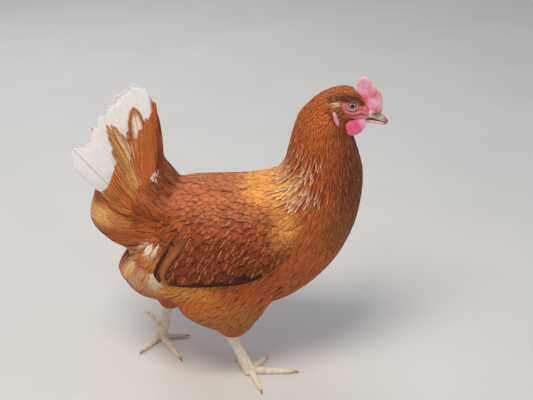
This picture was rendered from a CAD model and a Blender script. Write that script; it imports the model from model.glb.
# %% [markdown]
# # A brown laying hen, life size
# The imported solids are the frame: they say how big she is and where each part lies. This script
# dresses them. One bare skin takes the place of the flesh, thousands of thin closed vanes make the
# plumage, and the eyes, bill and claws are pieces of their own. Everything is worked out with
# numpy from tables of sections like those of the solids. Where the finished outline asked for it,
# a row differs from the solids' own by a few millimetres.

# %% The frame and its box
import bpy
import numpy as np
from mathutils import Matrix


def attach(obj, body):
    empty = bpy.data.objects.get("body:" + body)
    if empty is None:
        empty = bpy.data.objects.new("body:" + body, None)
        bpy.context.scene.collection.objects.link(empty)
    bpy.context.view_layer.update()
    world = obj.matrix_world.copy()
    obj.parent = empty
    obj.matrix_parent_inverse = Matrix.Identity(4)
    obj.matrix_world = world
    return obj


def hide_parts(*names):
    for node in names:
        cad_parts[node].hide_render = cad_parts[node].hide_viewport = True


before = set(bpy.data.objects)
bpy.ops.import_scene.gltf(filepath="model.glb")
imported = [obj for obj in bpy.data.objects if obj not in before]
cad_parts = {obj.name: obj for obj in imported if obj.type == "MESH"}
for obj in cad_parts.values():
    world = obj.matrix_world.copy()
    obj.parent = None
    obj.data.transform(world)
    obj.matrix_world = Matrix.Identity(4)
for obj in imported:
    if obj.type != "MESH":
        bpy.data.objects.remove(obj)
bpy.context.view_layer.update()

# %% [markdown]
# ## Light and camera
# One large soft light from above and in front gives the even, warm daylight that shows plumage
# well. A weaker one fills the shadows from ahead of her, and one from behind draws her outline.
# The camera looks down on her right side. A long lens keeps the hen's proportions, and its
# distance is fixed by her size.

# %% Light and camera
MM = 0.001
CAMERA_AT = (0.040, -1.1463, 0.7517)
CAMERA_DOWN = 25.5  # degrees below level
CAMERA_LENS = 76.0
LIT_POINT = (0, 0, 0.15)  # the lights face her middle
SKY_STRENGTH = 0.32


def srgb(code):
    """Linear colour of a hex code: each channel is undone from its display curve."""
    channels = np.array([int(code[i:i + 2], 16) / 255 for i in (1, 3, 5)])
    return np.where(channels <= 0.04045, channels / 12.92, ((channels + 0.055) / 1.055) ** 2.4)


def area_light(name, at, size, power, colour):
    """A square soft light that faces her middle."""
    data = bpy.data.lights.new(name, "AREA")
    data.size = size
    data.energy = power
    data.color = tuple(srgb(colour))
    lamp = bpy.data.objects.new(name, data)
    lamp.location = at
    away = np.array(at) - np.array(LIT_POINT)
    flat = np.hypot(away[0], away[1])
    lamp.rotation_euler = (np.arctan2(flat, away[2]), 0, np.arctan2(away[0], -away[1]))
    bpy.context.collection.objects.link(lamp)


bpy.context.scene.view_settings.view_transform = "Standard"
camera_data = bpy.data.cameras.new("camera")
camera_data.lens = CAMERA_LENS
camera = bpy.data.objects.new("camera", camera_data)
camera.location = CAMERA_AT
camera.rotation_euler = (np.radians(90 - CAMERA_DOWN), 0, 0)
bpy.context.collection.objects.link(camera)
bpy.context.scene.camera = camera

area_light("key_light", (-0.35, -0.75, 1.8), 0.8, 24, "#fff6e6")
area_light("fill_light", (1.5, -0.6, 0.8), 1.2, 3, "#f4f7ff")
area_light("rim_light", (-0.5, 1.3, 1.3), 1.0, 8, "#ffffff")
world = bpy.data.worlds.new("studio")
bpy.context.scene.world = world
world.use_nodes = True
sky = world.node_tree.nodes["Background"].inputs
sky["Color"].default_value = (0.9, 0.93, 1.0, 1)
sky["Strength"].default_value = SKY_STRENGTH
print("lights:", len(bpy.data.lights), "camera lens:", CAMERA_LENS)

# %% [markdown]
# ## Making meshes and materials
# Every shape below ends as arrays of points and faces. One function puts them into a mesh, with
# any UV maps and point attributes. One more adds a shader node with its settings and its links,
# which is all that the materials need.

# %% Meshes from arrays
rng = np.random.default_rng(20)


def new_mesh(name, points, faces, uvs=None, colours=None, numbers=None):
    """A mesh from points in mm and a list of face arrays; extras are given for each point."""
    loops = np.concatenate([f.ravel() for f in faces])
    sizes = np.concatenate([np.full(len(f), f.shape[1]) for f in faces])
    starts = np.concatenate([[0], np.cumsum(sizes)[:-1]])
    mesh = bpy.data.meshes.new(name)
    mesh.vertices.add(len(points))
    mesh.vertices.foreach_set("co", (np.asarray(points) * MM).astype(np.float32).ravel())
    mesh.loops.add(len(loops))
    mesh.loops.foreach_set("vertex_index", loops.astype(np.int32))
    mesh.polygons.add(len(sizes))
    mesh.polygons.foreach_set("loop_start", starts.astype(np.int32))
    mesh.polygons.foreach_set("use_smooth", np.ones(len(sizes), dtype=bool))
    mesh.update(calc_edges=True)
    for key, uv in (uvs or {}).items():
        layer = mesh.uv_layers.new(name=key)
        layer.uv.foreach_set("vector", uv[loops].astype(np.float32).ravel())
    for key, colour in (colours or {}).items():
        rgba = np.concatenate([colour, np.ones((len(colour), 1))], axis=1)[:, :4]
        layer = mesh.attributes.new(key, "FLOAT_COLOR", "POINT")
        layer.data.foreach_set("color", rgba.astype(np.float32).ravel())
    for key, number in (numbers or {}).items():
        layer = mesh.attributes.new(key, "FLOAT", "POINT")
        layer.data.foreach_set("value", number.astype(np.float32))
    return mesh


def new_piece(name, mesh, material, replaced):
    """Puts a mesh into the scene as a piece that rides with the hen, in place of some solids."""
    piece = bpy.data.objects.new(name, mesh)
    mesh.materials.append(material)
    bpy.context.collection.objects.link(piece)
    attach(piece, "root")
    if replaced:
        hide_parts(*replaced)
    triangles = sum(len(p.vertices) - 2 for p in mesh.polygons)
    print(f"{name}: {len(mesh.vertices)} points, {triangles} triangles")


def joined(parts):
    """One pair of points and faces from several such pairs."""
    points = []
    faces = []
    count = 0
    for part_points, part_faces in parts:
        points.append(part_points)
        faces += [f + count for f in part_faces]
        count += len(part_points)
    return np.concatenate(points), faces


# %% Shader nodes
def add_node(tree, kind, settings=None, inputs=None):
    """Adds a node; each input is a value, or the output socket that is linked to it."""
    node = tree.nodes.new(kind)
    for key, value in (settings or {}).items():
        setattr(node, key, value)
    for key, value in (inputs or {}).items():
        if isinstance(value, bpy.types.NodeSocket):
            tree.links.new(value, node.inputs[key])
        else:
            node.inputs[key].default_value = value
    return node


def new_material(name, sockets):
    """A new material, its node tree, and its Principled shader with values on its sockets."""
    material = bpy.data.materials.new(name)
    material.use_nodes = True
    tree = material.node_tree
    shader = tree.nodes["Principled BSDF"]
    for key, value in sockets.items():
        shader.inputs[key].default_value = value
    return material, tree, shader


# %% [markdown]
# ## The form of the body
# A bird's body is a stack of sections, each with its own lean, width and height above and below
# its middle line. A smooth curve through the rows gives a section anywhere. The same function
# makes the skin and places each feather, so a feather always lies along the body.

# %% Tables of sections, in millimetres
# Each row: x, z of the centre, lean backwards in degrees, half width, height up, height down.
BODY = np.array([
    [-134, 119, -22, 2, 2, 2],
    [-126, 126, -24, 22, 22, 10],
    [-111, 136, -23, 43, 44, 29],
    [-90, 147, -16, 58, 74, 59],
    [-60, 153, -8, 68, 79, 72],
    [-22, 154, -3, 73, 79, 78],
    [14, 156, 0, 74, 77.5, 79],
    [50, 166, 11, 70, 71.5, 78],
    [80, 188, 27, 60, 60, 69],
    [97, 215, 42, 49, 54, 60],
    [105, 242, 56, 40, 49.5, 50.5],
    [107, 263, 64, 33, 44.5, 45],
    [106.5, 281, 69, 27, 39.7, 37.5],
    [107, 297, 70, 22.5, 34.2, 29.5],
    [108, 310, 68, 18, 26.5, 21],
    [110, 320, 66, 11, 19, 11],
])
HEAD = np.array([
    [86, 320, 0, 2, 2, 2],
    [89.5, 320, 0, 8.5, 6, 10],
    [98, 320, 0, 13.5, 12.4, 16],
    [110, 320.5, 0, 16, 17.9, 20],
    [122, 320.5, 0, 15.6, 20.4, 21],
    [133, 319, 0, 14.2, 20.6, 19],
    [141, 315.8, 0, 12.2, 16.6, 15],
    [148, 311, 0, 9.6, 10.5, 9],
    [152.5, 308.8, 0, 5.5, 5.5, 4.5],
])
COVERTS = np.array([
    [-66, 176, -20, 38, 44, 40],
    [-86, 188, -28, 45, 56, 49],
    [-103, 203, -38, 45, 57, 56],
    [-114, 223, -49, 40, 53, 60],
    [-114, 242, -58, 33, 48, 46],
    [-112, 263, -67, 25, 41, 32],
    [-108, 283, -74, 18, 31, 28],
    [-105, 299, -77, 11, 21, 22],
    [-106, 311, -77, 4, 9, 9],
])


def thigh_table(y, rows):
    """A thigh as sections that lie flat: lean 90 turns the height of a section along x."""
    return np.array([[x, z, 90, wide, long, long] for x, z, long, wide in rows]), y


THIGHS = {
    "right": thigh_table(-40, [
        [18, 150, 30, 20], [8, 130, 52, 28], [-2, 111, 56, 31], [-10, 93, 53, 31],
        [-9.5, 80, 44.5, 28], [-5, 72, 34, 24], [0.5, 65, 23.5, 19], [1, 56, 16, 12], [1, 50, 8, 7],
    ]),
    "left": thigh_table(40, [
        [-26, 150, 30, 20], [-32, 130, 42, 28], [-42, 108, 44, 31], [-54, 88, 42, 30],
        [-62, 72, 37, 26], [-69, 58, 27, 20], [-76, 46, 14, 12], [-79, 40, 7, 7],
    ]),
}


def rows_between(table, t):
    """Catmull-Rom curve through the rows of a table; t counts rows."""
    last = len(table) - 1
    t = np.clip(t, 0, last - 1e-6)
    i = np.floor(t).astype(int)
    f = (t - i)[..., None]
    a, b, c, d = (table[np.clip(i + k, 0, last)] for k in (-1, 0, 1, 2))
    return 0.5 * (2 * b + (c - a) * f + (2 * a - 5 * b + 4 * c - d) * f**2
                  + (3 * (b - c) + d - a) * f**3)


def section_point(table, t, angle, lift=0.0, y=0.0):
    """Point of the form: centre of row t, plus half width by sin and height by cos of the angle.

    The angle runs from the middle of the back, positive to her left. Lift moves the point along
    the section's outward normal; inward it stops at six tenths of the way to the centre.
    """
    t, angle, lift = np.broadcast_arrays(t, angle, lift)
    x, z, lean, half, up, down = np.moveaxis(rows_between(table, t), -1, 0)
    height = np.where(np.cos(angle) > 0, up, down)
    lean = np.radians(lean)
    across = np.sin(angle) / half
    above = np.cos(angle) / height
    size = np.hypot(across, above)
    lift = np.maximum(lift, -0.6 * np.minimum(half, height))
    side = half * np.sin(angle) + lift * across / size
    rise = height * np.cos(angle) + lift * above / size
    return np.stack([x - rise * np.sin(lean), side + y, z + rise * np.cos(lean)], axis=-1)


def round_grid(along, sides):
    """A grid of two parameters: values along a shape, and equal angles round it from 0 to 2 pi."""
    return np.meshgrid(along, np.linspace(0, 2 * np.pi, sides, endpoint=False), indexing="ij")


def unit(vectors, least=1e-9):
    """The same vectors at length 1; one that is shorter than least is divided by least."""
    return vectors / np.maximum(np.linalg.norm(vectors, axis=-1, keepdims=True), least)


def tube_faces(rings, sides):
    """Quads that join rings of points in turn, and the two end caps."""
    r, s = np.meshgrid(np.arange(rings - 1), np.arange(sides), indexing="ij")
    a = r * sides + s
    b = r * sides + (s + 1) % sides
    quads = np.stack([a, b, b + sides, a + sides], axis=-1).reshape(-1, 4)
    first = np.arange(sides)[::-1][None, :]
    last = (rings - 1) * sides + np.arange(sides)[None, :]
    return [quads, first, last]


def inside_out(faces):
    """The same faces seen from their other side: their corners in reverse order."""
    return [f[:, ::-1] for f in faces]


def smooth(f):
    """A soft step from 0 to 1."""
    f = np.clip(f, 0, 1)
    return f * f * (3 - 2 * f)


def form_tube(table, lift, ts, sides, y=0.0):
    """The closed surface of a table of sections, raised or sunk by lift(t) at each row t."""
    t, angle = round_grid(ts, sides)
    points = section_point(table, t, angle, lift(t), y).reshape(-1, 3)
    return points, tube_faces(len(ts), sides)


print("body rows:", len(BODY), "head rows:", len(HEAD), "covert rows:", len(COVERTS))

# %% [markdown]
# ## Markings
# Skin and feathers share one set of colours, so that a gap between two feathers shows the same
# tone. She is ginger, deeper red on the front of the neck and on the wings, orange on the back
# and buff under the tail. Each region is a soft mask over the form's own coordinates.

# %% Colours of the plumage
GINGER = srgb("#b85b29")
ORANGE = srgb("#ca652c")
RUST = srgb("#a34e28")
DARK_RED = srgb("#6e2f14")
GOLD = srgb("#cf8f4a")
BUFF = srgb("#d9a772")
CREAM = srgb("#f4e0c8")
WHITE = srgb("#f8f6f4")
WING_DARK = srgb("#4f2413")
MAROON = srgb("#5c2420")
AMBER = srgb("#b8713c")
STRIP = srgb("#96582a")
STREAK = srgb("#d49a62")
RIM = srgb("#86442a")
SALMON = srgb("#c27048")
APRICOT = srgb("#ea9d56")
OCHRE = srgb("#cf9450")
FLAME = srgb("#e89a50")


def mixed(first, second, amount):
    """Blend of two colours, for a whole array of amounts."""
    amount = np.clip(amount, 0, 1)[..., None]
    return first * (1 - amount) + second * amount


def bump(value, middle, width):
    """A soft hill of height 1 round a middle value."""
    return np.exp(-((value - middle) / width) ** 2)


# Each mark: colour, x and z of its middle, its reach along x and z in mm, and its strength.
MARKS = [
    (SALMON, -20, 228, 70, 20, 0.9),
    (srgb("#f8ac5c"), 38, 233, 26, 15, 0.95),
    (srgb("#de7036"), 101, 300, 14, 16, 0.8),
    (ORANGE, 92, 330, 26, 34, 0.5),
    (srgb("#d86a30"), 100, 292, 14, 18, 0.6),
    (RUST, 5, 190, 55, 16, 0.6),
    (APRICOT, 56, 198, 16, 17, 0.8),
    (RUST, 108, 262, 18, 34, 0.55),
    (DARK_RED, 152, 235, 34, 62, 0.95),
    (DARK_RED, 132, 292, 18, 14, 0.6),
    (srgb("#8b4a1e"), 122, 182, 20, 26, 0.75),
    (srgb("#f09a4e"), -56, 117, 32, 13, 0.85),
    (srgb("#cc7229"), -45, 97, 16, 12, 0.7),
    (srgb("#a8743c"), 0, 84, 34, 18, 0.6),
    (srgb("#84401d"), -74, 186, 11, 22, 0.8),
    (srgb("#84401f"), -84, 250, 15, 26, 0.9),
    (srgb("#84401e"), -104, 209, 17, 12, 0.85),
    (srgb("#743c1c"), -66, 240, 9, 9, 0.8),
    (srgb("#f2b574"), -147, 200, 14, 11, 0.95),
    (srgb("#d28a4c"), -126, 196, 10, 9, 0.7),
    (srgb("#c87c45"), -100, 150, 22, 16, 0.9),
    (srgb("#fff0d8"), -96, 165, 10, 6, 0.95),
    (srgb("#7f4319"), -98, 141, 12, 5, 0.85),
    (srgb("#efc38c"), -120, 138, 7, 15, 0.8),
    (srgb("#fae6cc"), -86, 130, 7, 9, 0.85),
    (srgb("#d9aa76"), -102, 122, 15, 10, 0.7),
]


def marking(points):
    """Colour of the plumage at places on her body: ginger, with one soft mark over the other."""
    x, _, z = points.T
    colour = np.tile(GINGER, (len(points), 1))
    for tone, at_x, at_z, reach_x, reach_z, share in MARKS:
        near = np.exp(-((x - at_x) / reach_x) ** 2 - ((z - at_z) / reach_z) ** 2)
        colour = mixed(colour, tone, share * smooth(1.6 * near))
    return colour


# %% [markdown]
# ## The skin
# Under the feathers a hen is one bag of skin. Its forms are worked out as closed tubes, sunk by
# the depth of the coat, and a voxel remesh melts them together so that no seam shows. The body
# may be coarse. The head and legs are bare in places, so they are melted on a much finer grid.

# %% Forms that the skin is melted from
def coat_depth(t):
    """Depth of the body's plumage by row: deep on the trunk, thin towards the head."""
    return np.interp(t, [0, 2, 8, 11, 13.5, 15], [6, 9, 8, 6.5, 4, 2])


def turned(points, about_x, about_y):
    """Points turned about the axis across the body, then about the lengthwise axis (degrees)."""
    x, y, z = np.moveaxis(np.asarray(points, float), -1, 0)
    b = np.radians(about_y)
    x, z = x * np.cos(b) + z * np.sin(b), z * np.cos(b) - x * np.sin(b)
    a = np.radians(about_x)
    y, z = y * np.cos(a) - z * np.sin(a), y * np.sin(a) + z * np.cos(a)
    return np.stack([x, y, z], axis=-1)


def ellipsoid(at, size, about_x=0.0, about_y=0.0, rings=24, sides=32):
    """A turned ellipsoid: latitude rings of radius sin, at height cos."""
    lat, lon = round_grid(np.linspace(0.04, np.pi - 0.04, rings), sides)
    ball = np.stack([np.sin(lat) * np.cos(lon), np.sin(lat) * np.sin(lon), np.cos(lat)], -1)
    points = turned(ball.reshape(-1, 3) * size, about_x, about_y) + at
    return points, inside_out(tube_faces(rings, sides))


def tube_along(path, radius, sides, flat=1.0):
    """A round tube: rings across the direction of the path, flattened upwards by a factor."""
    path = np.asarray(path, float)
    along = unit(np.gradient(path, axis=0))
    reference = np.where(np.abs(along[:, 2:3]) > 0.9, [[1.0, 0, 0]], [[0, 0, 1.0]])
    side = unit(np.cross(along, reference))
    up = np.cross(side, along)
    a = np.linspace(0, 2 * np.pi, sides, endpoint=False)
    radius = np.broadcast_to(radius, len(path))[:, None, None]
    ring = np.cos(a)[None, :, None] * side[:, None] + flat * np.sin(a)[None, :, None] * up[:, None]
    points = path[:, None] + radius * ring
    return points.reshape(-1, 3), inside_out(tube_faces(len(path), sides))


def melted(parts, voxel, rounds):
    """One closed surface from overlapping parts: voxel remesh, then smoothing rounds."""
    mesh = new_mesh("melt", *joined(parts))
    form = bpy.data.objects.new("melt", mesh)
    bpy.context.collection.objects.link(form)
    remesh = form.modifiers.new("remesh", "REMESH")
    remesh.mode = "VOXEL"
    remesh.voxel_size = voxel * MM
    soften = form.modifiers.new("soften", "SMOOTH")
    soften.factor = 0.5
    soften.iterations = rounds
    result = form.evaluated_get(bpy.context.evaluated_depsgraph_get()).to_mesh()
    points = np.empty(len(result.vertices) * 3)
    result.vertices.foreach_get("co", points)
    corners = np.empty(len(result.loops), dtype=int)
    result.loops.foreach_get("vertex_index", corners)
    form.to_mesh_clear()
    bpy.data.objects.remove(form)
    bpy.data.meshes.remove(mesh)
    return points.reshape(-1, 3) / MM, corners.reshape(-1, 4)


def point_normals(points, quads):
    """Outward unit normal at each point, the sum of its faces' normals."""
    p = points[quads]
    face = np.cross(p[:, 2] - p[:, 0], p[:, 3] - p[:, 1])
    normal = np.zeros_like(points)
    for corner in range(4):
        np.add.at(normal, quads[:, corner], face)
    return unit(normal)


# %% The folded wing's place on the body
WING_FRONT = 76
WING_BACK = -80
TRUNK_ROWS = np.linspace(0, 8.5, 200)
TRUNK_X = rows_between(BODY, TRUNK_ROWS)[:, 0]


def row_at(x):
    """Row of the body table whose section has its centre at x."""
    return np.interp(x, TRUNK_X, TRUNK_ROWS)


def wing_edges(u):
    """Upper and lower edge of the folded wing in degrees from the back; u is 0 at the shoulder."""
    tip = smooth((u - 0.77) / 0.3)
    top = 66 - 30 * smooth(u / 0.32) + 64 * tip
    round_it = np.sqrt(1 - (1 - np.clip(u / 0.5, 0, 1)) ** 2)
    low = 80 + 21.5 * round_it + 4.5 * smooth((u - 0.5) / 0.43)
    return top, low - 14 * smooth((u - 0.93) / 0.1)


def wing_point(side, u, v, lift):
    """Point over the wing: u from shoulder to tip, v from the upper to the lower edge."""
    top, low = wing_edges(u)
    t = row_at(WING_FRONT + (WING_BACK - WING_FRONT) * u)
    return section_point(BODY, t, np.radians(top + (low - top) * v) * side, lift)


def wing_lift(u, v):
    """Height of the wing's outside over the body: it stands out at its rear and lower edges."""
    upper = np.maximum(smooth((v + 0.05) / 0.4), smooth((u - 0.68) / 0.2))
    return -1.5 + 8.0 * smooth(u / 0.3) * upper * (1 - 0.2 * smooth((v - 0.7) / 0.3))


def wing_pad(side):
    """The muscle and bone under the wing's feathers: a thin pad with its edges tucked in."""
    u, s = round_grid(np.linspace(0.05, 0.93, 24), 28)
    v = 0.5 - 0.42 * np.cos(s)
    lift = -10 + (wing_lift(u, v) + 7.2) * np.sqrt(np.clip(np.sin(s), 0, 1))
    points = wing_point(side, u, v, lift).reshape(-1, 3)
    faces = tube_faces(*u.shape)
    return points, faces if side < 0 else inside_out(faces)


print("wing edges at the shoulder and tip:", wing_edges(np.array([0.0, 1.0])))

# %% The body's skin
SIDES = {"right": -1, "left": 1}


def body_skin():
    """Trunk, neck, root of the tail, thighs and wing pads, melted into one."""
    parts = [form_tube(BODY, lambda t: -coat_depth(t) - 1, np.linspace(0.2, 14.8, 60), 48)]
    parts.append(form_tube(COVERTS, lambda t: -8.0, np.linspace(0, 7.7, 30), 36))
    for word, side in SIDES.items():
        table, y = THIGHS[word]
        last = len(table) - 1.3
        parts.append(form_tube(table, lambda t: -5.5, np.linspace(0, last, 24), 28, y))
        parts.append(wing_pad(side))
    return melted(parts, 3.4, 3)


body_points, body_quads = body_skin()
print("body skin:", len(body_quads), "faces, box", body_points.min(0).round(), body_points.max(0).round())

# %% [markdown]
# ## Head, comb, wattles and ear lobes
# The bare parts of the head are the same skin, grown thick and full of blood. The comb is a blade
# whose thickness falls off towards its rim, the wattles and ear lobes are flattened drops, and
# the lids, the brow and the folds of the face are soft rolls laid on the side of the head. All of
# them are melted together, and then a socket is pressed in for each eye.

# %% The head's skin
COMB_OUTLINE = np.array([
    [137.2, 336.5], [137.4, 344.2], [139.6, 348.2], [144.2, 350.7], [149, 350.2], [153, 346.4],
    [156.2, 340.8], [160.2, 337], [164, 332.4], [165.8, 325], [166, 317], [165.4, 311.6],
    [161, 309], [155, 308], [147, 312], [139.5, 325],
])
COMB_MIDDLE = np.array([150.5, 328.0])
WATTLE_AT = np.array([136.2, 10, 298.2])
WATTLE_SIZE = np.array([13.2, 2.8, 9.0])
WATTLE_TURN = (14, -33)
LOBE_AT = np.array([115, 15.4, 308])
LOBE_SIZE = np.array([2.7, 2.6, 9.6])
LOBE_TURN = (0, -18)
EYE_AT = np.array([132.1, 8.8, 323.2])
EYE_RADIUS = 6.8
LID = np.array([5.3, 4.4])  # half width, and height of the lower lid's ring under the eye's middle
LID_TOP = 0.9  # height of the upper lid's ring, as a part of the lower one's


def head_side(x, z):
    """Distance of the head's side from its middle plane, at a place seen from the side."""
    t = np.interp(x, HEAD[:, 0], np.arange(len(HEAD)))
    row = rows_between(HEAD, t)
    height = np.where(z > row[..., 1], row[..., 4], row[..., 5])
    return row[..., 3] * np.sqrt(np.clip(1 - ((z - row[..., 1]) / height) ** 2, 0, 1))


def head_roll(side, xz, radius, sunk=0.5):
    """A soft roll of flesh on the side of the head, along a smooth curve through a few places."""
    count = 24
    xz = np.asarray(xz, float)
    path = rows_between(xz, np.linspace(0, len(xz) - 1, count))
    y = side * (head_side(path[:, 0], path[:, 1]) - sunk)
    taper = np.sin(np.linspace(0.15, np.pi - 0.15, count)) ** 0.5
    return tube_along(np.stack([path[:, 0], y, path[:, 1]], axis=1), radius * taper, 12)


def lid_ring(side):
    """The rim of both lids: a closed roll round the eye, laid on the side of the head."""
    a = np.linspace(0, 2 * np.pi, 40)
    x = EYE_AT[0] + LID[0] * np.cos(a)
    z = EYE_AT[2] + LID[1] * np.sin(a) * np.where(np.sin(a) > 0, LID_TOP, 1)
    deep = EYE_RADIUS**2 - (x - EYE_AT[0]) ** 2 - (z - EYE_AT[2]) ** 2
    y = side * np.maximum(head_side(x, z) - 0.1, EYE_AT[1] + np.sqrt(np.maximum(deep, 0)) + 0.1)
    return tube_along(np.stack([x, y, z], axis=1), 0.85 - 0.15 * np.sin(a), 10)


def lid_reach(x, z):
    """How far a place lies from the eye's middle: 1 on the ring of the lids."""
    up = (z - EYE_AT[2]) / LID[1]
    return np.hypot((x - EYE_AT[0]) / LID[0], np.where(up > 0, up / LID_TOP, up))


def comb_blade():
    """The comb: its outline shrinks to the middle by sin, as its thickness grows by cos.

    The blade waves a little from side to side, and shallow folds fan out over it from its foot.
    """
    closed = np.concatenate([COMB_OUTLINE[-1:], COMB_OUTLINE, COMB_OUTLINE[:2]])
    outline = rows_between(closed, np.linspace(1, len(closed) - 2, 73)[:-1])
    turn = np.linspace(0.04, np.pi - 0.04, 26)
    r = np.sin(turn)[:, None, None] ** 0.5
    xz = COMB_MIDDLE + (outline[None] - COMB_MIDDLE) * r
    thick = 3.0 - 1.3 * smooth((xz[..., 1] - 322) / 20)
    shape = np.sign(np.cos(turn)) * np.abs(np.cos(turn)) ** 0.6
    x, z = xz[..., 0], xz[..., 1]
    wave = 0.9 * np.sin((x - 132) / 5.5) * smooth((z - 326) / 14)
    fan = np.arctan2(z - 300, x - 150)
    y = -thick * shape[:, None] + wave
    y = y - 0.25 * np.sin(30 * fan + 0.12 * z) * shape[:, None] * smooth((z - 318) / 8)
    return np.stack([x, y, z], axis=-1).reshape(-1, 3), tube_faces(len(turn), len(outline))


def mirrored(at, side):
    """The same place on her right or left side."""
    return at * np.array([1, side, 1])


def brow_roll(side, radius):
    """The ridge over the eye, from the ear to the bill's root."""
    return head_roll(side, [[106, 328], [118, 332.4], [130, 333.4], [139, 330], [146, 323]], radius, 1.0)


def with_sockets(points):
    """Points inside the rings of the lids are pressed in until they lie 1.2 mm under the eyeballs."""
    across = np.abs(points[:, 1])
    reach = lid_reach(points[:, 0], points[:, 2])
    ball = np.sqrt(np.clip(EYE_RADIUS**2 - (reach * LID.mean()) ** 2, 0, None)) + EYE_AT[1]
    press = smooth((0.97 - reach) / 0.16) * (across > 6)
    across = across * (1 - press) + np.minimum(across, ball - 1.2) * press
    points[:, 1] = np.sign(points[:, 1]) * across
    return points


def head_skin():
    """Head, top of the neck, comb, wattles, ear lobes, lids and folds, melted into one."""
    parts = [form_tube(HEAD, lambda t: -0.8, np.linspace(0.1, 7.9, 60), 48)]
    neck = np.linspace(11.6, 14.8, 16)
    parts.append(form_tube(BODY, lambda t: -coat_depth(t) - 0.5, neck, 40))
    parts.append(comb_blade())
    for side in SIDES.values():
        parts.append(ellipsoid(mirrored(WATTLE_AT, side), WATTLE_SIZE,
                               side * WATTLE_TURN[0], WATTLE_TURN[1]))
        parts.append(ellipsoid(mirrored(LOBE_AT, side), LOBE_SIZE, *LOBE_TURN))
        parts.append(ellipsoid(mirrored(EYE_AT, side), np.full(3, EYE_RADIUS + 0.5)))
        parts.append(lid_ring(side))
        parts.append(brow_roll(side, 2.1))
        parts.append(head_roll(side, [[151, 311], [142, 315.5], [133, 314.0], [125, 317]], 1.0))
        parts.append(head_roll(side, [[151, 308], [141, 309.5], [133, 308.5], [125, 311]], 0.9))
    points, quads = melted(parts, 0.72, 2)
    return with_sockets(points), quads


head_points, head_quads = head_skin()
print("head skin:", len(head_quads), "faces")

# %% [markdown]
# ## Legs and feet
# The shank and toes are bare and scaled. They are tubes along a straight path, swollen at the
# knuckles, melted together at the foot and cut level underneath where they bear on the floor.

# %% The skin of the legs
# Toes: where each points, in degrees from straight ahead, its length, and the hind one's rise.
LEGS = {
    "right": {"foot": (22, -42, 0), "hock": (-12, -40, 78), "toes": (134, 60, 0, -73),
              "lengths": (20, 31, 45, 36), "rise": (4, 2)},
    "left": {"foot": (-90, 35, 0), "hock": (-72, 40, 78), "toes": (136, -121, -61, 3),
             "lengths": (22, 35, 50, 27), "rise": (17, 23)},
}
# Heights on the shank, and its radius there.
SHANK_RADIUS = [[0, 3, 9, 21, 45, 68, 80, 100], [6.5, 7.8, 6.2, 5.6, 5.5, 6.7, 6.6, 6.4]]
# One value for each toe, starting with the hind one.
TOE_RADIUS = (3.6, 4.2, 4.6, 4.0)
KNUCKLES = (1, 2, 3, 3)
CLAW_LENGTH = (8, 9, 11, 9)
TOE_SINK = 0.84  # height of a toe's middle line, as a part of its radius: its underside is flat


def toe_line(leg, digit, f):
    """Middle line and radius of a toe; f runs from the foot to the root of the claw."""
    angle = np.radians(leg["toes"][digit])
    swell = 1 + 0.09 * np.cos(2 * np.pi * (KNUCKLES[digit] + 0.5) * f)
    radius = TOE_RADIUS[digit] * (1.05 - 0.38 * f) * swell
    reach = leg["lengths"][digit] * f
    rise = np.interp(f, [0, 1], leg["rise"]) if digit == 0 else 0
    foot = np.array(leg["foot"])
    x = foot[0] + reach * np.cos(angle)
    y = foot[1] + reach * np.sin(angle)
    return np.stack([x, y, TOE_SINK * radius + rise], axis=-1), radius


def shank_line(leg, z):
    """Middle line and radius of the shank at heights z, from the pad of the foot to the hock."""
    foot, hock = np.array(leg["foot"]), np.array(leg["hock"])
    line = foot + (hock - foot) * (z / hock[2])[..., None]
    return line, np.interp(z, *SHANK_RADIUS)


def leg_skin(leg):
    """Shank, foot pad and toes of one leg."""
    line, radius = shank_line(leg, np.linspace(1.5, 96, 40))
    parts = [tube_along(line, radius, 28, 1.1)]
    for digit in range(4):
        line, radius = toe_line(leg, digit, np.linspace(0, 1, 34))
        radius[-1] *= 0.7
        parts.append(tube_along(line, radius, 24))
    points, quads = melted(parts, 0.85, 1)
    points[:, 2] = np.maximum(points[:, 2], 0)
    return points, quads


def leg_scales(leg, points):
    """For each point, in mm: distance along its toe or shank, and distance round it.

    Each point belongs to the tube whose surface is nearest. The way round is measured from the
    top of a toe and from the front of the shank, as the angle times the radius there.
    """
    best = np.full(len(points), 1e9)
    along = np.zeros(len(points))
    around = np.zeros(len(points))
    for part in range(5):
        if part < 4:
            line, radius = toe_line(leg, part, np.linspace(0, 1, 60))
            front = np.array([0, 0, 1.0])
        else:
            line, radius = shank_line(leg, np.linspace(4, 96, 80))
            front = np.array([1.0, 0, 0])
        gap = np.linalg.norm(points[:, None] - line[None], axis=2) - radius[None]
        nearest = gap.argmin(axis=1)
        gap = gap.min(axis=1)
        way = unit(line[-1] - line[0])
        front = unit(front - way * (front @ way))
        off = points - line[nearest]
        angle = np.arctan2(off @ np.cross(way, front), off @ front)
        closer = gap < best
        best = np.where(closer, gap, best)
        along = np.where(closer, (points - line[0]) @ way, along)
        around = np.where(closer, angle * radius[nearest], around)
    return along, around


leg_parts = {word: leg_skin(leg) for word, leg in LEGS.items()}
print("leg skins:", {word: len(part[1]) for word, part in leg_parts.items()}, "faces")

# %% [markdown]
# ## The skin as one piece
# The melted parts overlap deep under the feathers, and become one piece. Its colour is worked out
# at every point: the plumage's own markings where feathers grow, and the pinks and reds of bare
# skin on the face. How far the surface bends in or out at a point, taken from its neighbours,
# darkens the folds and lightens the ridges.

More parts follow.
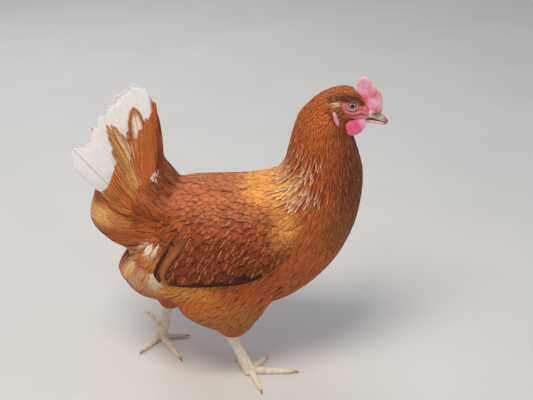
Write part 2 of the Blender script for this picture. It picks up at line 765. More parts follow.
# %% Colours of the bare skin
FACE = srgb("#e3707a")
FACE_PALE = srgb("#f2b0a8")
FACE_DEEP = srgb("#ad3a48")
FACE_MAROON = srgb("#3e101f")
COMB_RED = srgb("#ea5880")
COMB_PALE = srgb("#f5b4d0")
COMB_LILAC = srgb("#f4c6dc")
WATTLE_RED = srgb("#ee4a80")
LOBE_PINK = srgb("#e688a4")
CHEEK = srgb("#8f6034")
LID_DARK = srgb("#3c1820")
LEG_CREAM = srgb("#f2e4cc")
LEG_DARK = srgb("#d9bf98")


def bend(points, quads):
    """How far each point stands out from the average of its faces, along the normal, in mm.

    The result is averaged twice over the faces, so that only folds wider than a face count.
    """
    centre = points[quads].mean(axis=1)
    total = np.zeros_like(points)
    count = np.zeros(len(points))
    for corner in range(4):
        np.add.at(total, quads[:, corner], centre)
        np.add.at(count, quads[:, corner], 1)
    average = total / np.maximum(count, 1)[:, None]
    out = ((points - average) * point_normals(points, quads)).sum(axis=1)
    for _ in range(2):
        face = out[quads].mean(axis=1)
        out = np.bincount(quads.ravel(), np.repeat(face, 4), len(points)) / np.maximum(count, 1)
    return out


def inside_drop(points, at, size, turn, side, more):
    """1 inside a turned ellipsoid grown by a factor, falling to 0 outside it."""
    back = points - mirrored(at, side)
    a, b = np.radians(side * turn[0]), np.radians(turn[1])
    y = back[:, 1] * np.cos(a) + back[:, 2] * np.sin(a)
    z = back[:, 2] * np.cos(a) - back[:, 1] * np.sin(a)
    x = back[:, 0] * np.cos(b) - z * np.sin(b)
    z = z * np.cos(b) + back[:, 0] * np.sin(b)
    reach = np.sqrt((x / size[0]) ** 2 + (y / size[1]) ** 2 + (z / size[2]) ** 2)
    return smooth((more - reach) / 0.12)


BROW = np.array([[107, 328.4], [119, 331.4], [130, 331.4], [139, 328.2], [145, 322.8], [152, 316]])
JAW = np.array([[119, 331], [121.5, 320], [126, 312.5], [134, 307.2], [149, 306.2], [152, 303]])


def face_bareness(x, z):
    """1 on the bare face between brow and jaw, 0 where small feathers grow."""
    above = smooth((np.interp(x, *BROW.T) - z) / 1.6)
    below = smooth((z - np.interp(x, *JAW.T)) / 1.8)
    return smooth((x - 119.5) / 2) * below * above


def comb_share(points):
    """1 on the comb: close to the middle plane, and above the head or ahead of its brow."""
    x, y, z = points.T
    t = np.interp(x, HEAD[:, 0], np.arange(len(HEAD)))
    row = rows_between(HEAD, t)
    above = z - (row[:, 1] + row[:, 4]) + 1.5
    return smooth(above / 1.5) * smooth((5.0 - np.abs(y)) / 1.0) * (x > 128)


def head_colours(points, quads):
    """Colour of the head's skin at every point."""
    x, y, z = points.T
    colour = mixed(GINGER, CHEEK, bump(x, 119, 9) * bump(z, 313, 9) * 0.9)
    ridge = bend(points, quads) / 0.045
    face = mixed(FACE, FACE_PALE, np.clip(0.7 * ridge, 0, 0.45))
    face = mixed(face, FACE_DEEP, np.clip(-0.8 * ridge, 0, 0.6))
    shade = smooth((z - EYE_AT[2] - 2.6) / 1.2) * bump(x, 130, 16)
    face = mixed(face, FACE_MAROON, 0.9 * shade)
    colour = mixed(colour, face, face_bareness(x, z))
    forward = smooth((x - 146) / 3) * smooth((z - 300) / 3)
    colour = mixed(colour, face, forward)
    red = np.maximum(bump(x, 156, 7) * bump(z, 332, 5.5), 0.6 * bump(x, 160, 5) * bump(z, 315.5, 3.5))
    comb = mixed(COMB_PALE, COMB_RED, np.clip(0.12 + 0.8 * red, 0, 1))
    comb = mixed(comb, COMB_LILAC, 0.8 * bump(x, 157, 7) * bump(z, 323.5, 3.5))
    comb = mixed(comb, FACE, smooth((152 - x) / 5) * smooth((334 - z) / 6))
    comb = mixed(comb, COMB_RED, np.clip(-0.8 * ridge, 0, 0.2))
    comb = mixed(comb, CREAM, np.clip(0.4 * ridge, 0, 0.3))
    colour = mixed(colour, comb, comb_share(points))
    for side in SIDES.values():
        wattle = inside_drop(points, WATTLE_AT, WATTLE_SIZE, WATTLE_TURN, side, 1.25)
        pale = 0.75 * smooth((x + 0.6 * (z - 300) - 139) / 7) + np.clip(0.6 * ridge, 0, 0.3)
        colour = mixed(colour, mixed(WATTLE_RED, COMB_PALE, pale), wattle)
        lobe = inside_drop(points, LOBE_AT, LOBE_SIZE, LOBE_TURN, side, 1.3)
        pale = 0.55 * bump((x - 114.7) - 0.3 * (308 - z), 0, 0.9)
        colour = mixed(colour, mixed(LOBE_PINK, CREAM, pale), lobe)
        lid = bump(lid_reach(x, z), 1.0, 0.16) * (side * y > 5)
        above = smooth((z - EYE_AT[2] - 0.6) / 2)
        colour = mixed(colour, mixed(FACE_PALE, LID_DARK, above), 0.9 * lid)
    return colour


def body_colours(points):
    """The plumage's marking in the shade of the coat."""
    return marking(points) * 0.62


# %% Skin material and piece
SCALE_LENGTH = 3.4  # of a leg scale, in mm


def skin_material():
    """Bare skin: soft living tissue, moist and finely grained.

    Light goes a little way in, so it has some scattering; the surface is satin. Two grains of
    bumps stand on it: papillae on comb and face, which are half a millimetre wide and are drawn
    1.3 mm apart so that they show, and the scales of the legs, drawn from the distance along and
    round each toe and shank.
    """
    material, tree, shader = new_material("living skin", {
        "Roughness": 0.42, "IOR": 1.4, "Subsurface Weight": 0.12,
        "Subsurface Radius": (1.0, 0.35, 0.2), "Subsurface Scale": 1.2 * MM})
    colour = add_node(tree, "ShaderNodeAttribute", {"attribute_name": "skin_colour"})
    scaled = add_node(tree, "ShaderNodeAttribute", {"attribute_name": "scaled"})
    place = add_node(tree, "ShaderNodeTexCoord")
    grain = add_node(tree, "ShaderNodeTexVoronoi", inputs={
        "Vector": place.outputs["Object"], "Scale": 1 / (1.3 * MM)})
    blotch = add_node(tree, "ShaderNodeTexNoise", inputs={
        "Vector": place.outputs["Object"], "Scale": 1 / (4.5 * MM), "Detail": 3.0})
    along, around = (add_node(tree, "ShaderNodeAttribute", {"attribute_name": key}).outputs["Fac"]
                     for key in ("along", "around"))
    plates, plate_height = scute_nodes(tree, along, around)
    height = add_node(tree, "ShaderNodeMix", {"data_type": "FLOAT"}, {
        0: scaled.outputs["Fac"], 2: grain.outputs["Distance"], 3: plate_height})
    tone = add_node(tree, "ShaderNodeMapRange", inputs={
        "Value": blotch.outputs["Fac"], "From Min": 0.3, "From Max": 0.7, "To Min": 0.86, "To Max": 1.1})
    shade = add_node(tree, "ShaderNodeMath", {"operation": "MULTIPLY"}, {
        0: tone.outputs["Result"], 1: plates})
    tinted = add_node(tree, "ShaderNodeVectorMath", {"operation": "SCALE"}, {
        0: colour.outputs["Color"], "Scale": shade.outputs["Value"]})
    bump_node = add_node(tree, "ShaderNodeBump", inputs={
        "Height": height.outputs[0], "Distance": 0.35 * MM, "Strength": 0.8})
    tree.links.new(tinted.outputs["Vector"], shader.inputs["Base Color"])
    tree.links.new(bump_node.outputs["Normal"], shader.inputs["Normal"])
    return material


def scute_nodes(tree, along, around):
    """Leg scales: plates 3.4 mm long that overlap towards the claw, in two rows on the front.

    The fraction of along / 3.4 runs from 0 to 1 over each plate, and one row is half a plate
    ahead of the other. Returns a shade, darker in the gaps and on the line between the rows, and
    the same as a height. Where skin isn't scaled, along is 0 and the shade is 1.
    """
    row = add_node(tree, "ShaderNodeMath", {"operation": "GREATER_THAN"}, {0: around, 1: 0.0})
    shift = add_node(tree, "ShaderNodeMath", {"operation": "MULTIPLY_ADD"}, {
        0: row.outputs["Value"], 1: SCALE_LENGTH / 2, 2: along})
    part = add_node(tree, "ShaderNodeMath", {"operation": "DIVIDE"}, {
        0: shift.outputs["Value"], 1: SCALE_LENGTH})
    fraction = add_node(tree, "ShaderNodeMath", {"operation": "FRACT"}, {0: part.outputs["Value"]})
    gap = add_node(tree, "ShaderNodeMapRange", {"interpolation_type": "SMOOTHSTEP"}, {
        "Value": fraction.outputs["Value"], "From Min": 0.0, "From Max": 0.22,
        "To Min": 0.84, "To Max": 1.0})
    side = add_node(tree, "ShaderNodeMath", {"operation": "ABSOLUTE"}, {0: around})
    ridge = add_node(tree, "ShaderNodeMapRange", {"interpolation_type": "SMOOTHSTEP"}, {
        "Value": side.outputs["Value"], "From Min": 0.0, "From Max": 0.7, "To Min": 0.92, "To Max": 1.0})
    bare = add_node(tree, "ShaderNodeMath", {"operation": "COMPARE"}, {0: along, 1: 0.0, 2: 0.001})
    gaps = add_node(tree, "ShaderNodeMath", {"operation": "MULTIPLY"}, {
        0: gap.outputs["Result"], 1: ridge.outputs["Result"]})
    shade = add_node(tree, "ShaderNodeMath", {"operation": "MAXIMUM"}, {
        0: gaps.outputs["Value"], 1: bare.outputs["Value"]})
    return shade.outputs["Value"], gaps.outputs["Value"]


def whole_skin():
    """All melted parts as one mesh with its colours and leg scales."""
    parts = [(body_points, [body_quads]), (head_points, [head_quads])]
    colours = [body_colours(body_points), head_colours(head_points, head_quads)]
    bare_count = len(body_points) + len(head_points)
    along = [np.zeros(bare_count)]
    around = [np.zeros(bare_count)]
    for word, leg in LEGS.items():
        points, quads = leg_parts[word]
        s, r = leg_scales(leg, points)
        parts.append((points, [quads]))
        under = smooth((1.2 - points[:, 2]) / 1.2)
        colours.append(mixed(LEG_CREAM, LEG_DARK, 0.35 * under + 0.25 * smooth(-s / 10)))
        along.append(np.maximum(s, 0.01))
        around.append(r)
    along = np.concatenate(along)
    numbers = {"along": along, "around": np.concatenate(around), "scaled": (along > 0).astype(float)}
    return new_mesh("hen_skin", *joined(parts), colours={"skin_colour": np.concatenate(colours)},
                    numbers=numbers)


FLESH = ["head", "neck", "trunk", "abdomen", "tail_coverts", "comb"]
for word in SIDES:
    FLESH += [f"wattle_{word}", f"ear_lobe_{word}", f"thigh_{word}", f"shank_{word}"]
    FLESH += [f"wing_{word}_shoulder", f"wing_{word}_flight"]
    FLESH += [f"toe_{word}_{digit}" for digit in range(1, 5)]
new_piece("hen_skin", whole_skin(), skin_material(), FLESH)

# %% [markdown]
# ## The form of the coat
# A plumage is a thick, even layer whose outside is smooth: it rounds off the corners between
# neck, wing, thigh and tail. So the same forms are melted once more at the coat's own depth, and
# turned into a field of distances. The field gives the nearest place on that smooth outside and
# its normal, for any number of points at once.

# %% Field of distances round a surface
def distance_field(points, quads, cell):
    """A grid of outward normals and signed distances, in a band round a surface.

    Every point of the surface adds itself to the grid's nodes near it, weighted by a Gaussian of
    its distance. A node then knows the average plane of the surface next to it.
    """
    normal = point_normals(points, quads)
    low = points.min(axis=0) - 5 * cell
    shape = ((points.max(axis=0) - low) / cell).astype(int) + 6
    near = np.arange(-2, 3)
    shifts = np.stack(np.meshgrid(near, near, near, indexing="ij"), axis=-1).reshape(-1, 3)
    node = (np.round((points - low) / cell).astype(int)[None] + shifts[:, None]).reshape(-1, 3)
    place = np.tile(points, (len(shifts), 1))
    weight = np.exp(-((node * cell + low - place) ** 2).sum(axis=1) / (2 * cell**2))
    index = np.ravel_multi_index(node.T, shape)
    values = np.concatenate([place, np.tile(normal, (len(shifts), 1))], axis=1) * weight[:, None]
    size = int(np.prod(shape))
    total = np.stack([np.bincount(index, v, size) for v in values.T], axis=1)
    weight = np.bincount(index, weight, size)
    known = weight > 1e-4
    out = unit(total[:, 3:])
    middle = total[:, :3] / np.maximum(weight, 1e-9)[:, None]
    grid = np.stack(np.unravel_index(np.arange(size), shape), axis=1) * cell + low
    gap = ((grid - middle) * out).sum(axis=1)
    table = np.concatenate([out, gap[:, None]], axis=1) * known[:, None]
    return {"table": table, "low": low, "cell": cell, "shape": shape}


def onto(field, points, rounds=2):
    """The nearest places on the surface, and its outward normals there.

    The field's values at the eight nodes round a point are blended by how near it is to each;
    the point then moves back along the normal by its distance.
    """
    shape = points.shape
    points = points.reshape(-1, 3)
    for _ in range(rounds):
        place = (points - field["low"]) / field["cell"]
        place = np.clip(place, 0, field["shape"] - 1.001)
        corner = place.astype(int)
        part = place - corner
        found = 0
        for shift in np.ndindex(2, 2, 2):
            weight = np.prod(np.where(shift, part, 1 - part), axis=1)[:, None]
            index = np.ravel_multi_index((corner + shift).T, field["shape"])
            found = found + weight * field["table"][index]
        normal = unit(found[:, :3], 1e-6)
        points = points - found[:, 3:] * normal
    return points.reshape(shape), normal.reshape(shape)


def coat_form():
    """The smooth outside of the coat: body, cushion and thighs."""
    parts = [form_tube(BODY, np.zeros_like, np.linspace(0, 15, 70), 60)]
    parts.append(form_tube(COVERTS, np.zeros_like, np.linspace(0, 8, 36), 44))
    for table, y in THIGHS.values():
        parts.append(form_tube(table, np.zeros_like, np.linspace(0, len(table) - 1, 30), 32, y))
    return melted(parts, 3.0, 6)


def wing_sheet(side):
    """The outside of a folded wing as an open sheet that runs on beyond the wing's outline."""
    u, v = np.meshgrid(np.linspace(-0.06, 1.08, 76), np.linspace(-0.2, 1.25, 56), indexing="ij")
    points = wing_point(side, u, v, wing_lift(u, v)).reshape(-1, 3)
    corner = np.arange(u.size).reshape(u.shape)
    quads = np.stack([corner[:-1, :-1], corner[:-1, 1:], corner[1:, 1:], corner[1:, :-1]], axis=-1)
    quads = quads.reshape(-1, 4)
    out = point_normals(points, quads)[:, 1].mean() * side
    return points, quads if out > 0 else quads[:, ::-1]


coat_points, coat_quads = coat_form()
COAT = distance_field(coat_points, coat_quads, 3.0)
SHEETS = {word: wing_sheet(side) for word, side in SIDES.items()}
WINGS = {word: distance_field(*sheet, 3.0) for word, sheet in SHEETS.items()}
print("outside of the coat:", len(coat_quads), "faces")

# %% [markdown]
# ## Feathers
# Every feather is a closed, thin vane: rings of points from root to tip, each ring a shallow arch
# above and a straight chord below. A feather starts just under the outside of the coat, walks over
# it by steps in the direction of the lie, and rises as it goes, so that its tip lies on the
# feathers behind it, as roof shingles do. All feathers of a tract are grown at once, as arrays.

# %% The lie of the coat
# Each row: x, z, and how far the feathers fall from straight back there, in degrees.
LIE = np.array([
    [150, 332, 8], [128, 341, 4], [108, 341, 20], [93, 332, 50], [86, 312, 72], [82, 290, 80],
    [104, 322, 30], [122, 322, 12], [116, 312, 40], [118, 304, 60], [110, 292, 84], [132, 288, 78],
    [78, 268, 78], [106, 270, 86], [132, 262, 95], [66, 252, 48], [92, 240, 74], [118, 236, 84],
    [146, 232, 96], [50, 239, 22], [72, 222, 60], [98, 205, 74], [128, 196, 80], [24, 232, 12],
    [-10, 231, 8], [-45, 229, 4], [-66, 224, -2], [43, 210, 28], [14, 215, 24], [-20, 216, 26],
    [-50, 212, 30], [20, 202, 40], [-12, 204, 46], [-40, 200, 52], [56, 192, 42], [30, 184, 56],
    [0, 189, 64], [-15, 172, 68], [-45, 184, 62], [-54, 165, 66], [66, 176, 46], [42, 158, 54],
    [5, 152, 64], [-30, 146, 68], [-66, 146, 66], [86, 180, 64], [118, 160, 56], [96, 150, 42],
    [104, 134, 42], [82, 112, 38], [56, 125, 34], [20, 118, 38], [-14, 116, 40], [-44, 112, 40],
    [-66, 120, 30], [54, 100, 35], [22, 96, 36], [-18, 96, 38], [12, 82, 50], [0, 62, 68],
    [0, 48, 82], [-50, 82, 52], [-68, 58, 68], [-78, 42, 80], [0, 76, 30], [-82, 108, 26],
    [-92, 134, 60], [-112, 136, 48], [-104, 112, 66], [-100, 152, 36], [-118, 158, 28],
    [-76, 168, 60], [-68, 186, 44], [-80, 150, 62], [-84, 216, -50], [-98, 240, -70],
    [-108, 270, -78], [-108, 300, -80], [-126, 250, -60], [-142, 236, -42], [-146, 210, -22],
    [-130, 190, -8], [-122, 172, 14], [-100, 182, 6], [-88, 196, -12], [-74, 228, -46],
    [-86, 248, -76], [-94, 272, -80],
])


def lie(points):
    """Direction of the coat at each place: the guides near it count most."""
    gap = (points[:, None, 0] - LIE[:, 0]) ** 2 + (points[:, None, 2] - LIE[:, 1]) ** 2
    weight = 1 / (gap + 40) ** 2
    fall = np.radians(LIE[:, 2])
    x = -(weight * np.cos(fall)).sum(axis=1)
    z = -(weight * np.sin(fall)).sum(axis=1)
    return unit(np.stack([x, 0 * x, z], axis=1))


SPARSE = 60  # a pitch in mm at which hardly any feather grows, where others cover the place


def scatter(points, quads, pitch):
    """Roots spread over faces, one for each pitch squared; pitch has one value for each face."""
    corner = points[quads]
    across = np.cross(corner[:, 2] - corner[:, 0], corner[:, 3] - corner[:, 1])
    area = 0.5 * np.linalg.norm(across, axis=1)
    due = np.cumsum(area / pitch**2)
    picked = corner[np.diff(np.floor(due), prepend=0) > 0]
    u, v = rng.random((2, len(picked), 1))
    return (picked[:, 0] * (1 - u) * (1 - v) + picked[:, 1] * u * (1 - v)
            + picked[:, 2] * u * v + picked[:, 3] * (1 - u) * v)


# %% Growing vanes
def steps_of(rows):
    """Parts of the length at which rings lie: closer together towards the tip."""
    return 1 - (1 - np.linspace(0, 1, rows)) ** 1.35


def trace(field, starts, length, rows, wander, upstream=False):
    """Middle lines of feathers that walk over the coat along its lie; wander turns each a little.

    They start at their roots, or upstream at their tips, so that their tips draw a clear line.
    Where the field has no value, a feather keeps its last normal.
    """
    place, normal = onto(field, starts)
    path = [place]
    normals = [normal]
    turn = rng.normal(0, wander, len(starts))[:, None]
    steps = np.diff(steps_of(rows))
    for step in -steps[::-1] if upstream else steps:
        way = lie(place)
        way = unit(way - (way * normal).sum(axis=1, keepdims=True) * normal, 1e-6)
        way = way * np.cos(turn) + np.cross(normal, way) * np.sin(turn)
        place, found = onto(field, place + way * step * length[:, None])
        lost = np.linalg.norm(found, axis=1, keepdims=True) < 0.5
        normal = np.where(lost, normal, found)
        path.append(place)
        normals.append(normal)
    order = -1 if upstream else 1
    return np.stack(path[::order], axis=1), np.stack(normals[::order], axis=1)


def evenness(normals):
    """How even the ground under each feather is: the least cosine from one normal to the next."""
    return (normals[:, 1:] * normals[:, :-1]).sum(axis=2).min(axis=1)


def vane_profile(s, rise, blunt):
    """Half width along a vane as a part of the widest: it grows from the root and closes at the tip."""
    shape = ((s + 0.12) / 1.12) ** rise * (1 - s**blunt) ** 0.6
    return shape / shape.max() + 0.04


def worn_tips(c, s, width, length, ragged):
    """How far each barb of a vane that is open to its tip is set back towards the root, in mm.

    The rim is torn softly, by random values at seven knots, and finely at each point, and is
    rounded by |c| to the power 2.2. All of it grows with the square of s.
    """
    count = len(width)
    columns = len(c) // 2
    knots = rng.random((count, 7))
    short = np.stack([np.interp(c, np.linspace(-1, 1, 7), row) for row in knots])[:, None]
    fine = 0.4 * rng.random((count, 1, columns))
    short = ragged * (short + np.concatenate([fine, fine[..., ::-1]], axis=2))
    short = short + 0.6 * width[:, None, None] / length[:, None, None] * np.abs(c) ** 2.2
    return short * length[:, None, None] * (s[:, None] ** 2)


def vane_faces(count, rows, ring, columns):
    """Faces of all vanes: the shell of one, repeated; an open vane's ends are strips of quads."""
    shell = tube_faces(rows, ring)
    if ring == 2 * columns:
        start = np.arange(columns - 1)
        shell[1] = np.stack([start, ring - 1 - start, ring - 2 - start, start + 1], axis=1)
        top = (rows - 1) * ring + start
        foot = rows * ring - 1 - start
        shell[2] = np.stack([top, top + 1, foot - 1, foot], axis=1)
    offset = (np.arange(count) * rows * ring)[:, None, None]
    return [(f[None] + offset).reshape(-1, f.shape[1]) for f in inside_out(shell)]


# %% Vanes over their middle lines
def vanes(path, normals, width, low, high, columns=3, rise=0.6, blunt=3.0, camber=0.04,
          fray=0.25, thick=0.3, ragged=0.0, field=None):
    """Closed vanes along middle lines; width, low and high hold one value for each feather.

    A point stands off the middle line by c times the half width, is drawn back towards the root
    the nearer it is to the rim, and rises by low to high plus the arch of the vane. With a field,
    it is first laid on that surface. Blunt 0 keeps the vane open to its tip, and gives it a full
    lower face. Returns points, faces, and the place of each point on its vane: part of the
    length s, part of the half width c, millimetres, and its feather.
    """
    count, rows = path.shape[:2]
    s = steps_of(rows)
    c = np.append(np.linspace(-1, 1, columns), 0.0 if blunt else np.linspace(1, -1, columns))
    ring = len(c)
    under = np.arange(ring) >= columns
    length = np.linalg.norm(np.diff(path, axis=1), axis=2).sum(axis=1)
    along = unit(np.gradient(path, axis=1))
    side = unit(np.cross(normals, along))
    profile = vane_profile(s, rise, blunt) if blunt else 0.25 + 0.75 * smooth(s / 0.6)
    half = 0.5 * width[:, None] * profile
    worn = fray * rng.random((count, rows, ring)) * smooth(s / 0.4)[:, None]
    if blunt:
        inner = (np.arange(rows) > 0) & (np.arange(rows) < rows - 1)
        back = -0.25 * half[:, :, None] * np.abs(c) * inner[:, None]
    else:
        worn[..., columns:] = worn[..., columns - 1::-1]
        back = -worn_tips(c, s, width, length, ragged)
    across = half[:, :, None] * c * (1 - worn)
    flat = path[:, :, None] + across[..., None] * side[:, :, None] + back[..., None] * along[:, :, None]
    up = normals[:, :, None] + 0 * flat
    if field is not None:
        flat, found = onto(field, flat)
        up = np.where(np.linalg.norm(found, axis=-1, keepdims=True) > 0.5, found, up)
    lift = low[:, None] + (high - low)[:, None] * s**0.8
    swell = (0.3 + 0.7 * np.sin(np.pi * np.clip(s, 0.08, 0.92)))[:, None]
    arch = camber * width[:, None, None] * (1 - c**2) - thick * under
    points = flat + (lift[:, :, None] + arch * swell)[..., None] * up
    part = np.broadcast_to(s[:, None], across.shape)
    full = {
        "s": part.ravel(),
        "c": np.broadcast_to(c, across.shape).ravel(),
        "under": np.broadcast_to(under, across.shape).ravel(),
        "along": (length[:, None, None] * part).ravel(),
        "across": across.ravel(),
        "feather": np.repeat(np.arange(count), rows * ring),
    }
    return points.reshape(-1, 3), vane_faces(count, rows, ring, columns), full


# %% Colours, bake map and pieces
PATCH_SIZE = 0.003  # of a feather on the bake map, whose whole side is 1


def patches(root_uv, full):
    """The bake map: each feather is a small patch at its root's place on the form.

    Its width is laid along u and its length along v. A shift of v by the arch of the vane makes
    each ring of points a thin loop there, not a line.
    """
    shift = np.where(full["under"], 0.1, -0.12 * (1 - full["c"] ** 2))
    local = np.stack([0.5 * full["c"], full["s"] - 0.5 + shift], axis=1)
    return root_uv[full["feather"]] + PATCH_SIZE * local


def unwrapped(roots):
    """Places of roots on an unwrap of the form: her two sides laid side by side, seen flat."""
    x, y, z = roots.T
    both = (y.min() < -5) & (y.max() > 5)
    u = np.where(both & (y > 0), x.max() + 10 + (x.max() - x), x)

    def fill(value):
        return 0.02 + 0.96 * (value - value.min()) / (value.max() - value.min())
    return np.stack([fill(u), fill(z)], axis=1)


def look_of(full, base, line=GOLD, line_share=0.4, line_reach=0.7, line_start=0.2, rim=GOLD,
            rim_share=0.15, vary=0.1, root_dark=0.8):
    """Colours at each point of the vanes.

    Every feather has its own tone, is darker at the root and may have a rim of another colour.
    Along its shaft runs a line: its colour, how strong it is, and how far it reaches sideways.
    """
    count = len(base)
    feather, s = full["feather"], full["s"]
    light = np.exp(rng.normal(0, vary, count))[:, None]
    warm = 1 + rng.normal(0, 0.35 * vary, (count, 3)) * np.array([0.3, 0.6, 1.0])
    own = rng.uniform(0.3, 1.7, (count, 1))
    colour = (base * light * warm)[feather]
    edge = smooth((np.abs(full["c"]) - 0.45) / 0.55) + smooth((s - 0.78) / 0.22)
    edge = np.clip(edge, 0, 1) * smooth((s - 0.3) / 0.4) * own[feather, 0]
    colour = mixed(colour, rim, np.broadcast_to(rim_share, count)[feather] * edge)
    colour = colour * (root_dark + (1 - root_dark) * smooth(s / 0.45))[:, None]
    share = np.clip(line_share * rng.uniform(0.4, 1.6, count), 0, 1)[feather]
    share = share * smooth((s - np.broadcast_to(line_start, count)[feather]) / 0.3)
    tone = np.broadcast_to(line, (count, 3))[feather]
    reach = np.broadcast_to(line_reach, count)[feather]
    return {"plumage": np.clip(colour, 0, 1), "shaft": np.column_stack([tone, share])}, reach


def coat_piece(name, grown, roots, look, material, replaced=()):
    """A tract of feathers as one piece with its colours, vane map and bake map."""
    points, faces, full = grown
    colours, reach = look
    points[:, 2] = np.maximum(points[:, 2], 0.2)  # none dips into the floor
    vane = np.stack([full["across"], full["along"]], axis=1)
    uvs = {"vane": vane, "OFBake": patches(unwrapped(roots), full)}
    numbers = {"feather": (full["feather"] * 0.618034) % 1, "reach": reach}
    new_piece(name, new_mesh(name, points, faces, uvs, colours, numbers), material, replaced)


# %% The feather's material
def feather_material(name, streak, roughness=0.62, sheen=0.06):
    """Keratin vane: barbs lie side by side and sweep out from the shaft towards the tip.

    Each barb catches the light as a fine silky line, so the vane is matt with a soft sheen and a
    faint streak. Real barbs are 0.1 mm apart; they are drawn as bundles 0.7 mm wide so that they
    show. The shaft's own line is drawn from the distance across the vane.
    """
    material, tree, shader = new_material(name, {
        "Roughness": roughness, "IOR": 1.54, "Specular IOR Level": 0.12,
        "Sheen Weight": sheen, "Sheen Roughness": 0.5})
    colour, shaft, reach, seed = (add_node(tree, "ShaderNodeAttribute", {"attribute_name": key})
                                  for key in ("plumage", "shaft", "reach", "feather"))
    vane = add_node(tree, "ShaderNodeUVMap", {"uv_map": "vane"})
    split = add_node(tree, "ShaderNodeSeparateXYZ", inputs={0: vane.outputs["UV"]})
    out = add_node(tree, "ShaderNodeMath", {"operation": "ABSOLUTE"}, {0: split.outputs["X"]})
    sweep = add_node(tree, "ShaderNodeMath", {"operation": "MULTIPLY_ADD"}, {
        0: out.outputs["Value"], 1: -1.3, 2: split.outputs["Y"]})
    lines = add_node(tree, "ShaderNodeMath", {"operation": "MULTIPLY"}, {
        0: sweep.outputs["Value"], 1: 1 / 0.7})
    slow = add_node(tree, "ShaderNodeMath", {"operation": "MULTIPLY"}, {0: split.outputs["X"], 1: 0.16})
    far = add_node(tree, "ShaderNodeMath", {"operation": "MULTIPLY"}, {0: seed.outputs["Fac"], 1: 90.0})
    where = add_node(tree, "ShaderNodeCombineXYZ", inputs={
        "X": lines.outputs["Value"], "Y": slow.outputs["Value"], "Z": far.outputs["Value"]})
    barbs = add_node(tree, "ShaderNodeTexNoise", inputs={
        "Vector": where.outputs["Vector"], "Scale": 1.0, "Detail": 2.0, "Roughness": 0.6})
    shade = add_node(tree, "ShaderNodeMapRange", inputs={
        "Value": barbs.outputs["Fac"], "From Min": 0.3, "From Max": 0.7,
        "To Min": 1 - streak, "To Max": 1 + streak})
    tinted = add_node(tree, "ShaderNodeVectorMath", {"operation": "SCALE"}, {
        0: colour.outputs["Color"], "Scale": shade.outputs["Result"]})
    inner = add_node(tree, "ShaderNodeMath", {"operation": "MULTIPLY"}, {0: reach.outputs["Fac"], 1: 0.35})
    line = add_node(tree, "ShaderNodeMapRange", {"interpolation_type": "SMOOTHSTEP"}, {
        "Value": out.outputs["Value"], "From Min": inner.outputs["Value"],
        "From Max": reach.outputs["Fac"], "To Min": 1.0, "To Max": 0.0})
    share = add_node(tree, "ShaderNodeMath", {"operation": "MULTIPLY"}, {
        0: line.outputs["Result"], 1: shaft.outputs["Alpha"]})
    lined = add_node(tree, "ShaderNodeMix", {"data_type": "RGBA"}, {
        0: share.outputs["Value"], 6: tinted.outputs["Vector"], 7: shaft.outputs["Color"]})
    relief = add_node(tree, "ShaderNodeBump", inputs={
        "Height": barbs.outputs["Fac"], "Distance": 0.2 * MM, "Strength": 0.5})
    tree.links.new(lined.outputs[2], shader.inputs["Base Color"])
    tree.links.new(relief.outputs["Normal"], shader.inputs["Normal"])
    return material


PLUMAGE = feather_material("keratin feather, ginger", 0.2)
FLUFF = feather_material("keratin down, loose", 0.14, 0.75, 0.15)
TAIL_WHITE = feather_material("keratin feather, white", 0.05, 0.5, 0.05)

# %% [markdown]
# ## Tracts of the body
# One scatter covers the whole outside of the coat. Each root belongs to a tract, which says how
# long and broad its feathers are: narrow hackles on the neck, short round ones on breast and
# back, loose fluff behind, and coverts that grow longer on the wing and on the tail's cushion.
# Many of the lower hackles end in a cream fleck.

# %% Which tract a place belongs to
def wing_outline(first, last, top, low):
    """Outline of a part of the folded wing, seen from the side as x and z."""
    u = np.linspace(first, last, 30)
    upper = wing_point(-1, u, 0 * u + top, 4.0)
    lower = wing_point(-1, u[::-1], 0 * u + low, 4.0)
    return np.concatenate([upper, lower])[:, [0, 2]]


def inside(outline, x, z):
    """True within a closed outline: a ray to the right crosses it an odd number of times."""
    x1, z1 = outline.T
    x2, z2 = np.roll(outline, -1, axis=0).T
    straddles = (z1 > z[:, None]) != (z2 > z[:, None])
    cross_x = x1 + (z[:, None] - z1) * (x2 - x1) / np.where(z2 == z1, 1e-9, z2 - z1)
    return (straddles & (x[:, None] < cross_x)).sum(axis=1) % 2 == 1


def tract_of(points):
    """Number of the tract at each place: see TRACTS."""
    x, y, z = points.T
    right = y < 0
    tract = np.where(right, 1, 2)
    tract = np.where((z > 212 - 0.5 * (x - 60)) & (x > 45), 0, tract)
    tract = np.where((x < -66) & (z > 168 - 0.25 * (x + 66)), 3, tract)
    tract = np.where((x < -72) & (z < 164), 4, tract)
    thigh_right = right & (z < 112) & (np.abs(y + 40) < 40) & (x > -84)
    thigh_left = ~right & (z < 98) & (np.abs(y - 40) < 40) & (x < 6)
    return np.where(thigh_right | thigh_left, np.where(right, 5, 6), tract)


# Name, pitch, length and width in mm, depth of the root, how much feathers wander, rings, and how
# even the ground must be: a feather that would fold over in a crease is left out.
TRUNK = (4.9, 23, 9.5, 1.6, 0.10, 8, 0.86)
THIGH = (4.2, 20, 7.0, 1.5, 0.10, 7, 0.86)
TRACTS = [
    ("coat_hackle", 3.0, 26, 5.4, 0.8, 0.07, 7, 0.86),
    ("coat_trunk_right", *TRUNK),
    ("coat_trunk_left", *TRUNK),
    ("coat_cushion", 3.6, 28, 6.6, 1.2, 0.07, 8, 0.86),
    ("coat_fluff", 3.4, 22, 9.0, 1.2, 0.16, 7, 0.93),
    ("coat_thigh_right", *THIGH),
    ("coat_thigh_left", *THIGH),
]
print("tracts:", [row[0] for row in TRACTS])

